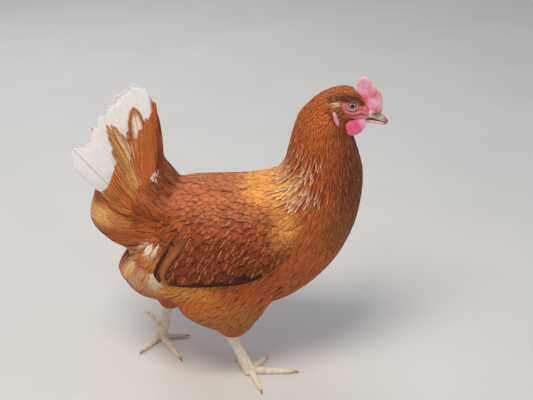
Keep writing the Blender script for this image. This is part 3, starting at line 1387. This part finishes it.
# %% Sizes and flecks
def size_share(points):
    """Size of feathers as a part of the tract's own: small at the head and at the hock."""
    z = points[:, 2]
    head = 1 - 0.55 * smooth((z - 240) / 75)
    hock = 0.35 + 0.65 * smooth((z - 38) / 50)
    return head * hock


def fleck_share(points):
    """Chance of a pale line on a hackle, and how broad it is: it grows down the side of the neck."""
    x, _, z = points.T
    behind = smooth((108 - x - 1.0 * np.maximum(z - 258, 0)) / 14) * smooth((x - 42) / 8)
    place = behind * smooth((z - 208 - 0.25 * np.abs(x - 68)) / 8) * smooth((300 - z) / 16)
    main = bump(x, 72, 19) * bump(z, 233, 18)
    return place * (0.28 + 0.42 * main), 0.7 + 1.9 * main


def lumps(points):
    """Down lies in soft lumps, with a crease between the upper one and the lower one."""
    x, y, z = points.T
    crease = bump(z - 142 - 0.2 * (x + 98), 0, 4.5) * smooth((-80 - x) / 8)
    return 0.6 * np.sin(x / 4.3 + 0.9 * np.sin(z / 7)) * np.sin(z / 5.1 + y / 9) - 3.0 * crease


def hidden(points):
    """True where other feathers cover the coat: on the head, the cushion's tip, under the wing."""
    x, y, z = points.T
    head = (z > 318) | ((x > 96) & (z > 303))
    tip = (x < -80) & (z > 290)
    return head | tip | (inside(wing_outline(0.14, 0.9, 0.2, 0.88), x, z) & (np.abs(y) > 36))


# %% Growing the tracts
def grow_tract(name, roots, long, wide, deep, wander, rows, even):
    """One tract as a piece: vanes over the coat, with flecks on the hackle, lumps in the fluff.

    Trunk feathers are slimmer on breast and belly, and have a darker rim on the back.
    """
    trunk, loose = "trunk" in name, name == "coat_fluff"
    share = size_share(roots) * rng.uniform(0.85, 1.15, len(roots))
    path, normals = trace(COAT, roots, long * share, rows, wander)
    kept = evenness(normals) > even
    roots, share, path, normals = roots[kept], share[kept], path[kept], normals[kept]
    count = len(roots)
    seen = path[:, -2]
    slim = 0.6 + 0.4 * smooth((seen[:, 2] - 150) / 40) * smooth((96 - seen[:, 0]) / 16) if trunk else 1
    width = wide * share * slim * rng.uniform(0.85, 1.15, count)
    chance, reach = fleck_share(seen) if name == "coat_hackle" else (np.zeros(count), 0.5)
    fleck = rng.random(count) < chance
    high = rng.normal(0, 0.15 if loose else 0.06, count) + (lumps(seen) if loose else 0) + 0.6 * fleck
    low = -deep * slim * share**0.5 + np.minimum(high, 0)
    grown = vanes(path, normals, width, low, high, columns=5 if wide > 6 else 3,
                  blunt=4.5 if trunk else 3.0, fray=0.15 if trunk else 0.25, camber=0.03,
                  thick=0.25, field=COAT)
    back = smooth((seen[:, 2] - 195) / 20) * smooth((66 - seen[:, 0]) / 20)
    pale = mixed(FLAME, CREAM, rng.random(count) ** 0.5 * np.clip(reach, 0, 0.95))
    look = look_of(grown[2], marking(seen), line=np.where(fleck[:, None], pale, GOLD),
                   line_share=np.where(fleck, 1.0, 0.4 * rng.random(count) ** 1.5),
                   line_reach=np.where(fleck, rng.uniform(0.7, 1.2, count) * reach, 0.9),
                   line_start=np.where(fleck, 0.66, 0.2), rim=RIM,
                   rim_share=(0.06 + 0.32 * back) if trunk else 0.05, root_dark=0.9,
                   vary=0.05 if loose else 0.08)
    coat_piece(name, grown, roots, look, FLUFF if loose else PLUMAGE)


centre = coat_points[coat_quads].mean(axis=1)
pitch = np.array([row[1] for row in TRACTS])[tract_of(centre)] * (0.25 + 0.75 * size_share(centre))
all_roots = scatter(coat_points, coat_quads, np.where(hidden(centre), SPARSE, pitch))
all_tracts = tract_of(all_roots)
for number, (name, _, *habit) in enumerate(TRACTS):
    grow_tract(name, all_roots[all_tracts == number], *habit)
print("body feathers:", len(all_roots))

# %% [markdown]
# ## Wings
# The folded wing stands out from the body, so its rear and lower edges throw a dark line. Rows of
# round coverts hang over it like shingles. Below them the long flight feathers lie along the lower
# edge, one under the other, and two more fall along the rear edge to the wing's tip.

# %% Coverts of the wing
def wing_colour(points):
    """Mahogany wing, darker below, with a golden patch on the shoulder and a rust upper part."""
    x, _, z = points.T
    colour = mixed(srgb("#8a3c1c"), RUST, smooth((z - 172) / 28))
    below = smooth((162 - z) / 22) * smooth((60 - x) / 20) * smooth((x + 30) / 30)
    colour = mixed(colour, WING_DARK, 0.7 * below)
    colour = mixed(colour, SALMON, smooth((z - 198) / 18))
    return mixed(colour, APRICOT, 0.85 * bump(x, 56, 15) * bump(z, 196, 22))


def covert_size(x):
    """Size of a wing covert as a part of the usual one: it falls from tip to shoulder."""
    return np.interp(x, [-80, -30, 40, 80], [1.1, 1.0, 0.9, 0.72])


def wing_coverts(word):
    """Round coverts, spread by their tips so that none hangs over the wing's edges.

    Behind the shoulder, one that rises above 220 mm would show over the back, and is left out.
    """
    points, quads = SHEETS[word]
    outline = wing_outline(0.0, 1.0, -0.02, 0.96)
    centre = points[quads].mean(axis=1)
    region = inside(outline, centre[:, 0], centre[:, 2])
    tips = scatter(points, quads, np.where(region, 5.6 * covert_size(centre[:, 0]), SPARSE))
    tips = tips[inside(outline, tips[:, 0], tips[:, 2])]
    size = covert_size(tips[:, 0]) * rng.uniform(0.9, 1.1, len(tips))
    path, normals = trace(WINGS[word], tips, 25 * size, 10, 0.06, upstream=True)
    kept = (evenness(normals) > 0.9) & ((path[..., 2].max(axis=1) < 220) | (tips[:, 0] > -15))
    tips, size, path, normals = tips[kept], size[kept], path[kept], normals[kept]
    count = len(tips)
    grown = vanes(path, normals, 11 * size, np.full(count, -2.2), rng.normal(1.2, 0.12, count),
                  columns=7, blunt=4.0, fray=0.16, camber=0.03, thick=0.25, field=WINGS[word])
    look = look_of(grown[2], wing_colour(tips), line=STREAK, line_share=0.6 * rng.random(count) ** 1.2,
                   line_reach=0.75, line_start=0.4, rim=WING_DARK, rim_share=0.35, vary=0.1)
    coat_piece(f"coat_wing_{word}", grown, path[:, 0], look, PLUMAGE)


# %% Flight feathers
# Two feathers along the wing's rear edge, each as places u and degrees from the back.
REAR_FEATHERS = np.array([
    [[0.855, 58.8], [0.89, 63.8], [0.935, 73], [0.97, 81.2], [0.99, 87.8], [0.985, 94.8], [0.955, 102.2]],
    [[0.81, 63], [0.85, 68.2], [0.89, 74.5], [0.925, 79.8], [0.945, 85], [0.955, 91], [0.935, 99.5]],
])


def wing_flight(word, side):
    """Six flight feathers along the lower edge, then two along the rear edge, which lie on top.

    Each of the six starts farther back, and lies higher, than the one before it.
    """
    s = np.linspace(0, 1, 24)
    order = np.arange(6)[:, None]
    long_u = 0.27 + 0.03 * order + (0.65 - 0.03 * order) * s
    long_v = 0.985 - 0.045 * order + 0 * s
    knots = np.linspace(0, len(REAR_FEATHERS[0]) - 1, 24)
    rear_u, degrees = np.moveaxis(np.stack([rows_between(row, knots) for row in REAR_FEATHERS]), 2, 0)
    top, low = wing_edges(rear_u)
    rear_v = (degrees - top) / np.maximum(low - top, 3)
    u, v = np.concatenate([long_u, rear_u]), np.concatenate([long_v, rear_v])
    place = wing_point(side, u, v, wing_lift(u, v))
    path, normals = onto(WINGS[word], place, 2)
    high = np.array([-2.0, -1.6, -1.2, -0.8, -0.4, 0.0, 1.4, 2.6])
    deep = np.array([0.8] * 6 + [1.5, 1.8])
    width = np.array([9, 9, 10, 10, 11, 11, 9, 9.5])
    grown = vanes(path, normals, width, high - deep, high, columns=9, rise=0.3, blunt=9.0,
                  camber=0.03, fray=0.03, thick=0.6, field=WINGS[word])
    base = np.array([WING_DARK] * 7 + [STRIP])
    strip = np.arange(8) == 7  # the last one has a broad amber stripe
    look = look_of(grown[2], base, line=np.where(strip[:, None], AMBER, RUST), line_share=0.5,
                   line_reach=np.where(strip, 3.0, 0.6), rim=WING_DARK, rim_share=0.35, vary=0.05)
    coat_piece(f"flight_feathers_{word}", grown, path[:, 0], look, PLUMAGE)


for word, side in SIDES.items():
    wing_coverts(word)
    wing_flight(word, side)

# %% [markdown]
# ## Tail
# The tail is two fans of broad white feathers, held upright and spread a little. Each is built in
# space, from its root to its tip: a straight shaft, bowed slightly outwards, with a vane that
# widens and ends round, worn ragged at the rim. Long ginger coverts lie over the foot of the fan.

# %% White tail feathers
QUILL = srgb("#8d7a68")
RECTRICES = 7  # stiff feathers of the fan, on each side
TAIL_REACH = [1, 1, 1, 0.97, 0.92, 0.88, 1]  # length of each feather, as a part of the fan's own
TAIL_ROOTS = np.array([[-97, -3, 216], [-112, -14, 204]])
TAIL_TIPS = {
    "right": np.array([[-101, -6, 348], [-168, -40, 286]]),
    "left": np.array([[-104, -6, 343], [-160, -36, 281]]),
}


def fan_lines(word, side, f):
    """Roots, tips and faces of feathers at places f of the fan, from the middle pair to the lowest."""
    flip = np.array([1, -side, 1])
    first, last = TAIL_ROOTS * flip
    top, bottom = TAIL_TIPS[word] * flip
    pivot = (first + last) / 2
    f = f[:, None]
    roots = first + (last - first) * f
    swing = (top - pivot) * (1 - f) + (bottom - pivot) * f
    reach = (1 - f) * np.linalg.norm(top - pivot) + f * np.linalg.norm(bottom - pivot)
    reach = reach * np.interp(f, np.linspace(0, 1, RECTRICES), TAIL_REACH)
    tips = pivot + unit(swing) * reach
    spread = unit(bottom - top)
    faces = unit(np.cross(tips - roots, spread))
    return roots, tips, faces * -side + 0.06 * spread


def straight(roots, tips, faces, rows, bow):
    """Middle lines of stiff feathers in space, bowed out along their faces, and their normals."""
    s = steps_of(rows)[None, :, None]
    path = roots[:, None] * (1 - s) + tips[:, None] * s + bow * np.sin(np.pi * s) * faces[:, None]
    return path, np.repeat(faces[:, None], rows, axis=1)


def tail_fan(word, side):
    """The white feathers of one side; the foremost has a ginger outer edge."""
    f = np.linspace(0, 1, RECTRICES)
    roots, tips, faces = fan_lines(word, side, f)
    path, normals = straight(roots, tips, faces, 28, 5.0)
    still = np.zeros(RECTRICES)
    width = np.array([36.0] * 5 + [34, 27])
    grown = vanes(path, normals, width, still, still, columns=23, blunt=0, camber=0.05, fray=0.03,
                  thick=0.5, ragged=0.06)
    full = grown[2]
    share = np.array([0.15, 0.12, 0.2, 0.1, 0.2, 0.12, 0.85])
    look, reach = look_of(full, np.tile(WHITE, (RECTRICES, 1)), line=QUILL, line_share=share,
                          line_reach=0.8, rim=WHITE, vary=0.01, root_dark=0.95)
    front = (full["feather"] == 0) * smooth((side * full["c"] - 0.72) / 0.2)
    look["plumage"] = mixed(look["plumage"], GINGER, 0.9 * front)
    coat_piece(f"tail_fan_{word}", grown, roots, (look, reach), TAIL_WHITE,
               [f"tail_feathers_{word}"])


# Each row: place in the fan, part of its length, width in mm, and how pale the middle is.
LONG_COVERTS = np.array([
    [-0.34, 0.76, 7, 0], [-0.31, 0.70, 9, 0], [-0.37, 0.66, 9, 0], [-0.27, 0.66, 10, 0],
    [-0.34, 0.60, 11, 0], [-0.22, 0.64, 10, 0], [-0.16, 0.66, 10, 0], [-0.10, 0.63, 11, 0],
    [-0.03, 0.64, 11, 0], [0.09, 0.82, 22, 1], [0.03, 0.58, 11, 0], [0.14, 0.60, 10, 0.3],
    [0.27, 0.70, 7, 0.2], [0.20, 0.58, 10, 0.3], [0.33, 0.64, 8, 0.6], [0.38, 0.70, 8, 0.5],
    [0.43, 0.80, 6, 0.5], [0.47, 0.85, 6, 0.6], [0.52, 0.88, 6, 0.4], [0.50, 0.70, 9, 0.5],
    [0.56, 0.78, 7, 0.4], [0.61, 0.72, 7, 0.2], [0.45, 0.60, 10, 0.2], [0.57, 0.62, 9, 0.1],
    [0.67, 0.58, 8, 0.1], [0.73, 0.55, 7, 0.1], [0.79, 0.53, 7, 0], [0.85, 0.50, 7, 0],
    [0.91, 0.48, 7, 0], [0.97, 0.44, 7, 0], [1.03, 0.42, 7, 0], [1.10, 0.42, 7, 0],
    [1.18, 0.46, 6, 0.1], [1.28, 0.46, 6, 0.1],
])


def flank_of_cushion(side, x, z):
    """How far the coat stands out sideways at x and z: the widest point in each cell, blended."""
    cell = 5.0
    near = (coat_points[:, 0] < -60) & (coat_points[:, 2] > 165) & (side * coat_points[:, 1] > 0)
    near = coat_points[near]
    low = near[:, [0, 2]].min(axis=0)
    spot = ((near[:, [0, 2]] - low) / cell).astype(int)
    grid = np.zeros(spot.max(axis=0) + 2)
    np.maximum.at(grid, tuple(spot.T), side * near[:, 1])
    place = (np.stack([x, z], axis=-1) - low) / cell - 0.5
    place = np.clip(place, 0, np.array(grid.shape) - 1.001)
    corner = place.astype(int)
    part = place - corner
    found = 0
    for shift in np.ndindex(2, 2):
        weight = np.prod(np.where(shift, part, 1 - part), axis=-1)
        found = found + weight * grid[tuple(np.moveaxis(corner + shift, -1, 0))]
    return found


def grown_again():
    """Columns of LONG_COVERTS, with each row grown four times: three times a little off."""
    rows = np.repeat(LONG_COVERTS, 4, axis=0)
    again = np.arange(len(rows)) % 4
    rows[:, 0] += rng.normal(0, 0.03, len(rows)) * (again > 0)
    rows[:, 1] -= rng.uniform(0.02, 0.09, len(rows)) * again
    single = rows[:, 3] == 1
    rows[:, 3] *= np.where(again > 0, 0.4, 1)
    rows[:, 2] *= np.where(again > 0, 0.85, 1)
    return rows[~(single & (again > 0))].T


def tail_coverts(word, side):
    """Long coverts: they leave the cushion's flank and bend over the foot of the fan.

    Those on the left stand 6 mm further off the fan than those on the right.
    """
    f, share, width, pale = grown_again()
    single = pale == 1
    roots, tips, faces = fan_lines(word, side, f)
    tips = roots + (tips - roots) * share[:, None]
    outward = unit(faces)
    lift = outward * (np.where(single, 5.0, rng.uniform(2.5, 7.0, len(f))) + 3 + 3 * side)[:, None]
    path, normals = straight(roots + 1.6 * lift, tips + lift, outward, 16, 5.0)
    s = steps_of(16)
    path[..., 0] += 6 * smooth(f / 0.3)[:, None] * np.sin(np.pi * s)
    flank = flank_of_cushion(side, path[..., 0], path[..., 2]) - 3 + 4.5 * smooth((s - 0.3) / 0.45)
    out = np.maximum(side * path[..., 1], np.where(single[:, None], 0, flank))
    for _ in range(3):
        out[:, 1:-1] = (out[:, :-2] + 2 * out[:, 1:-1] + out[:, 2:]) / 4
    path[..., 1] = side * out
    grown = vanes(path, normals, width, 0 * f, 0 * f, columns=7, blunt=4.5, camber=0.05, fray=0.15)
    full = grown[2]
    ochre = rng.uniform(0, 0.35, len(f)) + 0.7 * bump(f, 0.50, 0.14)
    base = mixed(np.tile(GINGER, (len(f), 1)), OCHRE, ochre)
    base = mixed(base, RUST, 0.6 * smooth((-0.1 - f) / 0.15))
    look, reach = look_of(full, base, line=RUST, line_share=0.3, line_reach=0.8, root_dark=0.55)
    middle = pale[full["feather"]] * smooth((0.62 - np.abs(full["c"])) / 0.3)
    middle = middle * smooth((full["s"] - 0.15) / 0.3) * smooth((0.97 - full["s"]) / 0.1)
    look["plumage"] = mixed(look["plumage"], CREAM, middle)
    coat_piece(f"tail_coverts_long_{word}", grown, roots + outward, (look, reach), PLUMAGE)


for word, side in SIDES.items():
    tail_fan(word, side)
    tail_coverts(word, side)

# %% [markdown]
# ## Feathers of the head
# On the head the feathers are tiny, a few millimetres long, and lie like short fur. They grow on
# crown, nape, cheek and throat, and stop in a clear line round the bare face. A tuft of bristly
# buff feathers covers the opening of the ear, behind the eye.

# %% Where the head is feathered
def head_form():
    """The outside of the head's own coat: head and top of the neck."""
    parts = [form_tube(HEAD, np.zeros_like, np.linspace(0, 8, 60), 48)]
    parts.append(form_tube(BODY, np.zeros_like, np.linspace(11.2, 15, 24), 48))
    parts += [brow_roll(side, 2.9) for side in SIDES.values()]
    return melted(parts, 1.2, 4)


def head_bare(points):
    """True where no feather starts: face, comb, ear lobes, bill, and the neck's own tract."""
    x, y, z = points.T
    bare = (face_bareness(x, z) > 0.3) & (np.abs(y) > 4)
    comb = (x > 136) & (np.abs(y) < 2.8) & (z > 316)
    front = (x > 147) | ((x > 128) & (z < 303))
    neck = (z < 312) & (x < 94) | (z < 297)
    lobe = np.zeros(len(points), dtype=bool)
    for side in SIDES.values():
        lobe |= inside_drop(points, LOBE_AT, LOBE_SIZE, LOBE_TURN, side, 1.7) > 0.5
    return bare | comb | front | neck | lobe


def head_marking(points):
    """The body's own marking, with darker brow and throat, olive cheek and buff ear tuft."""
    x, y, z = points.T
    colour = marking(points)
    colour = mixed(colour, DARK_RED, 0.5 * bump(x, 143, 9) * bump(z, 330, 9))
    cheek = bump(x, 119, 8) * bump(z, 314, 10) * smooth((np.abs(y) - 6) / 4)
    colour = mixed(colour, CHEEK, 0.9 * cheek)
    colour = mixed(colour, SALMON, 0.6 * smooth((z - 333) / 4))
    brow = bump(z - 0.4 - np.interp(x, *BROW.T), 0, 3.6) * smooth((x - 103) / 4)
    colour = mixed(colour, MAROON, np.clip(1.5 * brow * smooth((np.abs(y) - 6) / 3), 0, 0.95))
    tuft = bump(x, 113, 5.4) * bump(z - 0.15 * (x - 113), 325, 3.0) * smooth((np.abs(y) - 8) / 3)
    return mixed(colour, mixed(BUFF, CREAM, 0.25), np.clip(1.4 * tuft, 0, 1))


# %% Head feathers
def vane_size(x):
    """Size of a head feather as a part of 6.4 mm: it falls from the nape to the bill."""
    return np.interp(x, [84, 108, 125, 148], [1.45, 1.2, 1.0, 0.85])


def head_tract():
    """Short vanes over the head, from 5 mm at the brow to 9 mm at the nape."""
    points, quads = head_form()
    field = distance_field(points, quads, 1.5)
    centre = points[quads].mean(axis=1)
    roots = scatter(points, quads, np.where(head_bare(centre), 40, 1.45 * vane_size(centre[:, 0])))
    count = len(roots)
    size = vane_size(roots[:, 0]) * rng.uniform(0.85, 1.15, count)
    path, normals = trace(field, roots, 6.4 * size, 5, 0.14)
    grown = vanes(path, normals, 2.2 * size, np.full(count, -0.9), rng.normal(0.25, 0.12, count),
                  thick=0.15, field=field)
    look = look_of(grown[2], head_marking(path[:, 3]), line_share=0.2, line_reach=0.35, vary=0.08,
                   root_dark=0.92)
    coat_piece("coat_head", grown, roots, look, PLUMAGE)


head_tract()

# %% A white tuft at the root of the tail
def white_tuft():
    """A loose crescent of white down on her right, where the tail's cushion meets the saddle."""
    count = 15
    crescent = np.array([[-77, 256], [-76.5, 249.5], [-81, 245], [-85.5, 241], [-80, 237.5]])
    line = rows_between(crescent, np.linspace(0, 4, count))
    x, z = line.T + rng.normal(0, 0.7, (2, count))
    roots = np.stack([x, np.full(count, -28.0), z], axis=1)
    roots, _ = onto(COAT, roots, 5)
    path, normals = trace(COAT, roots, rng.uniform(4, 7, count), 7, 0.35)
    grown = vanes(path, normals, rng.uniform(0.9, 1.7, count), np.full(count, 0.8),
                  rng.uniform(1.8, 2.6, count), field=COAT)
    base = np.tile(mixed(CREAM, WHITE, np.array(0.2)), (count, 1))
    look = look_of(grown[2], base, line=CREAM, rim=BUFF)
    coat_piece("white_tuft", grown, roots, look, FLUFF)


white_tuft()

# %% [markdown]
# ## Eyes
# A hen's eye is a wet ball whose coloured iris fills the opening of the lids, with a round black
# pupil. The ball bulges a little over the iris, as the cornea does. The colours lie on rings
# round its axis, and darken in front and above, where the lids stand over them.

# %% Eyes
IRIS_OUT = srgb("#7c7763")
IRIS_IN = srgb("#bdb7a4")
PUPIL = srgb("#060403")
LIMBUS = srgb("#33241a")
PUPIL_EDGE = 0.36  # angles from the eye's axis, in radians
IRIS_EDGE = 0.78


def eye_material():
    """Wet eyeball: a smooth clear film over the iris gives a sharp highlight."""
    material, tree, shader = new_material("wet eye", {
        "Roughness": 0.25, "IOR": 1.376, "Coat Weight": 1.0, "Coat Roughness": 0.02})
    colour = add_node(tree, "ShaderNodeAttribute", {"attribute_name": "eye_colour"})
    ring = add_node(tree, "ShaderNodeUVMap", {"uv_map": "iris"})
    fibres = add_node(tree, "ShaderNodeTexNoise", inputs={
        "Vector": ring.outputs["UV"], "Scale": 1.0, "Detail": 3.0})
    shade = add_node(tree, "ShaderNodeMapRange", inputs={
        "Value": fibres.outputs["Fac"], "From Min": 0.3, "From Max": 0.7, "To Min": 0.75, "To Max": 1.2})
    tinted = add_node(tree, "ShaderNodeVectorMath", {"operation": "SCALE"}, {
        0: colour.outputs["Color"], "Scale": shade.outputs["Result"]})
    tree.links.new(tinted.outputs["Vector"], shader.inputs["Base Color"])
    return material


EYE_GLOSS = eye_material()


def eye(word, side):
    """An eyeball: rings by the angle p from its axis, radius 6.65 plus a bulge of 0.5 in front."""
    p = np.concatenate([[0.02], np.linspace(0.06, 1.3, 50), np.linspace(1.4, 3.08, 14)])
    p, a = round_grid(p, 72)
    faces = tube_faces(*p.shape)
    p, a = p.ravel(), a.ravel()
    radius = EYE_RADIUS - 0.15 + 0.5 * np.exp(-((p / 0.55) ** 2))
    ahead, up = np.sin(p) * np.cos(a), np.sin(p) * np.sin(a)
    ball = np.stack([radius * ahead, side * radius * np.cos(p), radius * up], axis=-1)
    colour = mixed(IRIS_IN, IRIS_OUT, smooth((p - 0.4) / 0.25))
    lid_shade = np.maximum(smooth((ahead - 0.30) / 0.22), smooth((up - 0.34) / 0.14))
    rim = smooth((p - IRIS_EDGE + 0.06) / 0.1)
    colour = mixed(colour, LIMBUS, np.maximum(rim, 0.85 * lid_shade))
    colour = mixed(colour, PUPIL, smooth((PUPIL_EDGE + 0.03 - p) / 0.05))
    fibres = np.stack([3.5 * np.cos(a) + 1.5 * p, 3.5 * np.sin(a)], axis=1)
    bake = np.stack([0.5 + 0.155 * p * np.cos(a), 0.5 + 0.155 * p * np.sin(a)], axis=1)
    faces = faces if side > 0 else inside_out(faces)
    mesh = new_mesh(f"eyeball_{word}", ball + mirrored(EYE_AT, side), faces,
                    {"iris": fibres, "OFBake": bake}, {"eye_colour": colour})
    new_piece(f"eyeball_{word}", mesh, EYE_GLOSS, [f"eye_{word}"])


for word, side in SIDES.items():
    eye(word, side)

# %% [markdown]
# ## Bill and claws
# Both are horn, laid down in fine layers along their length. The bill's upper half is a ridge that
# bends down over the lower; a nostril opens on each side near its root. The claws are cones,
# round on top, that bend to the floor.

# %% Bill
UPPER_BILL = np.array([
    [146, 309, 0, 6.8, 6.6, 4.2], [153, 309, 0, 6.3, 5.8, 4.2], [160, 307.2, 0, 4.7, 4.8, 3.6],
    [166.5, 304.6, 0, 3.2, 3.6, 2.6], [171, 301.8, 0, 1.8, 2.2, 2.9], [173.2, 300, 0, 0.5, 0.6, 1.0],
])
LOWER_BILL = np.array([
    [145, 302.4, 0, 5.6, 1.9, 3.4], [153, 302, 0, 5.2, 2.0, 3.2], [160, 300.4, 0, 3.9, 1.9, 2.8],
    [167, 298.8, 0, 2.6, 1.7, 2.0], [171.2, 297.4, 0, 0.8, 0.9, 0.8],
])
HORN_PALE = srgb("#ecd6bf")
HORN_PINK = srgb("#efc4bc")
HORN_BROWN = srgb("#9c5f50")
CERE = srgb("#77646d")
HORN_DARK = srgb("#3a2418")


def horn_material():
    """Horn of bill and claws: hard and satin, with faint growth lines along it."""
    material, tree, shader = new_material("horn, satin", {
        "Roughness": 0.38, "IOR": 1.54, "Subsurface Weight": 0.1,
        "Subsurface Radius": (1.0, 0.6, 0.4), "Subsurface Scale": 0.8 * MM})
    colour = add_node(tree, "ShaderNodeAttribute", {"attribute_name": "horn_colour"})
    grain_map = add_node(tree, "ShaderNodeUVMap", {"uv_map": "grain"})
    lines = add_node(tree, "ShaderNodeTexNoise", inputs={
        "Vector": grain_map.outputs["UV"], "Scale": 1.0, "Detail": 3.0})
    shade = add_node(tree, "ShaderNodeMapRange", inputs={
        "Value": lines.outputs["Fac"], "From Min": 0.3, "From Max": 0.7, "To Min": 0.85, "To Max": 1.12})
    tinted = add_node(tree, "ShaderNodeVectorMath", {"operation": "SCALE"}, {
        0: colour.outputs["Color"], "Scale": shade.outputs["Result"]})
    relief = add_node(tree, "ShaderNodeBump", inputs={
        "Height": lines.outputs["Fac"], "Distance": 0.1 * MM, "Strength": 0.6})
    tree.links.new(tinted.outputs["Vector"], shader.inputs["Base Color"])
    tree.links.new(relief.outputs["Normal"], shader.inputs["Normal"])
    return material


HORN = horn_material()


def with_nostrils(points, colour):
    """Presses in a slit on each side of the upper half, inside a raised rim and a grey cere."""
    x, y, z = points.T
    slit = np.hypot((x - 158.8 - 0.4 * (z - 310)) / 2.4, (z - 309.8 + 0.25 * (x - 158.8)) / 1.0)
    points[:, 1] -= np.sign(y) * 1.5 * smooth((1.35 - slit) / 0.7) * (np.abs(y) > 1.5)
    colour = mixed(colour, HORN_DARK, 0.95 * smooth((1.05 - slit) / 0.35) * (np.abs(y) > 1.5))
    cere = bump(x, 159.5, 5.5) * bump(z + 0.2 * (x - 159), 310, 2.6)
    colour = mixed(colour, CERE, np.clip(1.5 * cere, 0, 0.85))
    points[:, 1] += np.sign(y) * 0.35 * bump(slit, 1.6, 0.3) * (np.abs(y) > 1.5)
    return colour


def bill_half(name, table, node):
    """Half of the bill: the closed surface of its table of sections, dark where the halves meet."""
    rows, sides = 72, 56
    last = len(table) - 1
    t, angle = round_grid(last * np.linspace(0, 1, rows) ** 0.9, sides)
    points = section_point(table, t, angle).reshape(-1, 3)
    angle = angle.ravel()
    x = points[:, 0]
    colour = mixed(HORN_PINK, HORN_PALE, smooth((x - 158) / 8))
    colour = mixed(colour, HORN_BROWN, 0.85 * smooth((x - 164) / 6))
    if node == "beak_upper":
        colour = with_nostrils(points, colour)
        colour = mixed(colour, HORN_DARK, 0.55 * smooth((-0.55 - np.cos(angle)) / 0.3))
    else:
        colour = mixed(colour, HORN_DARK, 0.6 * smooth((np.cos(angle) - 0.45) / 0.3))
    grain = np.stack([x * 0.12, 2.2 * angle], axis=1)
    bake = np.stack([0.02 + 0.96 * angle / (2 * np.pi), 0.02 + 0.96 * t.ravel() / last], axis=1)
    mesh = new_mesh(name, points, inside_out(tube_faces(rows, sides)), {"grain": grain, "OFBake": bake},
                    {"horn_colour": np.clip(colour, 0, 1)})
    new_piece(name, mesh, HORN, [node])


bill_half("bill_upper", UPPER_BILL, "beak_upper")
bill_half("bill_lower", LOWER_BILL, "beak_lower")


# %% Claws
CLAW_RINGS = 16
CLAW_SIDES = 16


def claws(word):
    """The four claws of one foot: bent cones, their radius falls by 0.85 of itself to the tip."""
    leg = LEGS[word]
    parts = []
    colours = []
    f = np.linspace(0, 1, CLAW_RINGS)
    for digit in range(4):
        angle = np.radians(leg["toes"][digit])
        root = TOE_RADIUS[digit] * 0.58
        reach = leg["lengths"][digit] - 1.5 + (CLAW_LENGTH[digit] + 1.8) * f
        rise = leg["rise"][1] if digit == 0 else 0
        x = leg["foot"][0] + reach * np.cos(angle)
        y = leg["foot"][1] + reach * np.sin(angle)
        z = rise + root * (1.15 + 0.5 * f - 1.3 * f**2) + 0.1
        points, faces = tube_along(np.stack([x, y, z], axis=1), root * (1 - 0.85 * f**1.3), CLAW_SIDES)
        points[:, 2] = np.maximum(points[:, 2], 0.05)
        parts.append((points, faces))
        colours.append(mixed(HORN_PALE, HORN_BROWN, np.repeat(smooth((f - 0.25) / 0.75), CLAW_SIDES)))
    points, faces = joined(parts)
    ring, spot = np.divmod(np.arange(len(points)), CLAW_SIDES)
    bake = np.stack([0.02 + 0.96 * spot / (CLAW_SIDES - 1), 0.02 + 0.96 * ring / ring.max()], axis=1)
    mesh = new_mesh(f"claws_{word}", points, faces, {"grain": points[:, :2] * 0.5, "OFBake": bake},
                    {"horn_colour": np.concatenate(colours)})
    new_piece(f"claws_{word}", mesh, HORN, [f"claw_{word}_{n}" for n in range(1, 5)])


for word in SIDES:
    claws(word)

# %% [markdown]
# ## The floor
# She stands on a pale matt table top, wide enough to fill the view, painted by hand: its tone
# wanders a little from place to place. A flat square is all it needs.

# %% Floor
TABLE_HALF = 3000  # half the side of the table top, in mm


def studio_floor():
    """A pale matt table top: one square."""
    points = TABLE_HALF * np.array([[-1, -1, 0], [1, -1, 0], [1, 1, 0], [-1, 1, 0]])
    floor = bpy.data.objects.new("floor", new_mesh("floor", points, [np.array([[0, 1, 2, 3]])]))
    material, tree, shader = new_material("matt pale paint", {"Roughness": 0.9})
    place = add_node(tree, "ShaderNodeTexCoord")
    tone = add_node(tree, "ShaderNodeTexNoise", inputs={
        "Vector": place.outputs["Object"], "Scale": 6.0, "Detail": 4.0})
    shade = add_node(tree, "ShaderNodeMapRange", inputs={
        "Value": tone.outputs["Fac"], "To Min": 0.66, "To Max": 0.74})
    tree.links.new(shade.outputs["Result"], shader.inputs["Base Color"])
    floor.data.materials.append(material)
    bpy.context.collection.objects.link(floor)


studio_floor()

# %% [markdown]
# ## Sizes
# The box of the solids was measured before anything was hidden; the box of the finished pieces is
# measured now, and both are kept for comparing.

# %% Sizes, and the end
bpy.context.view_layer.update()
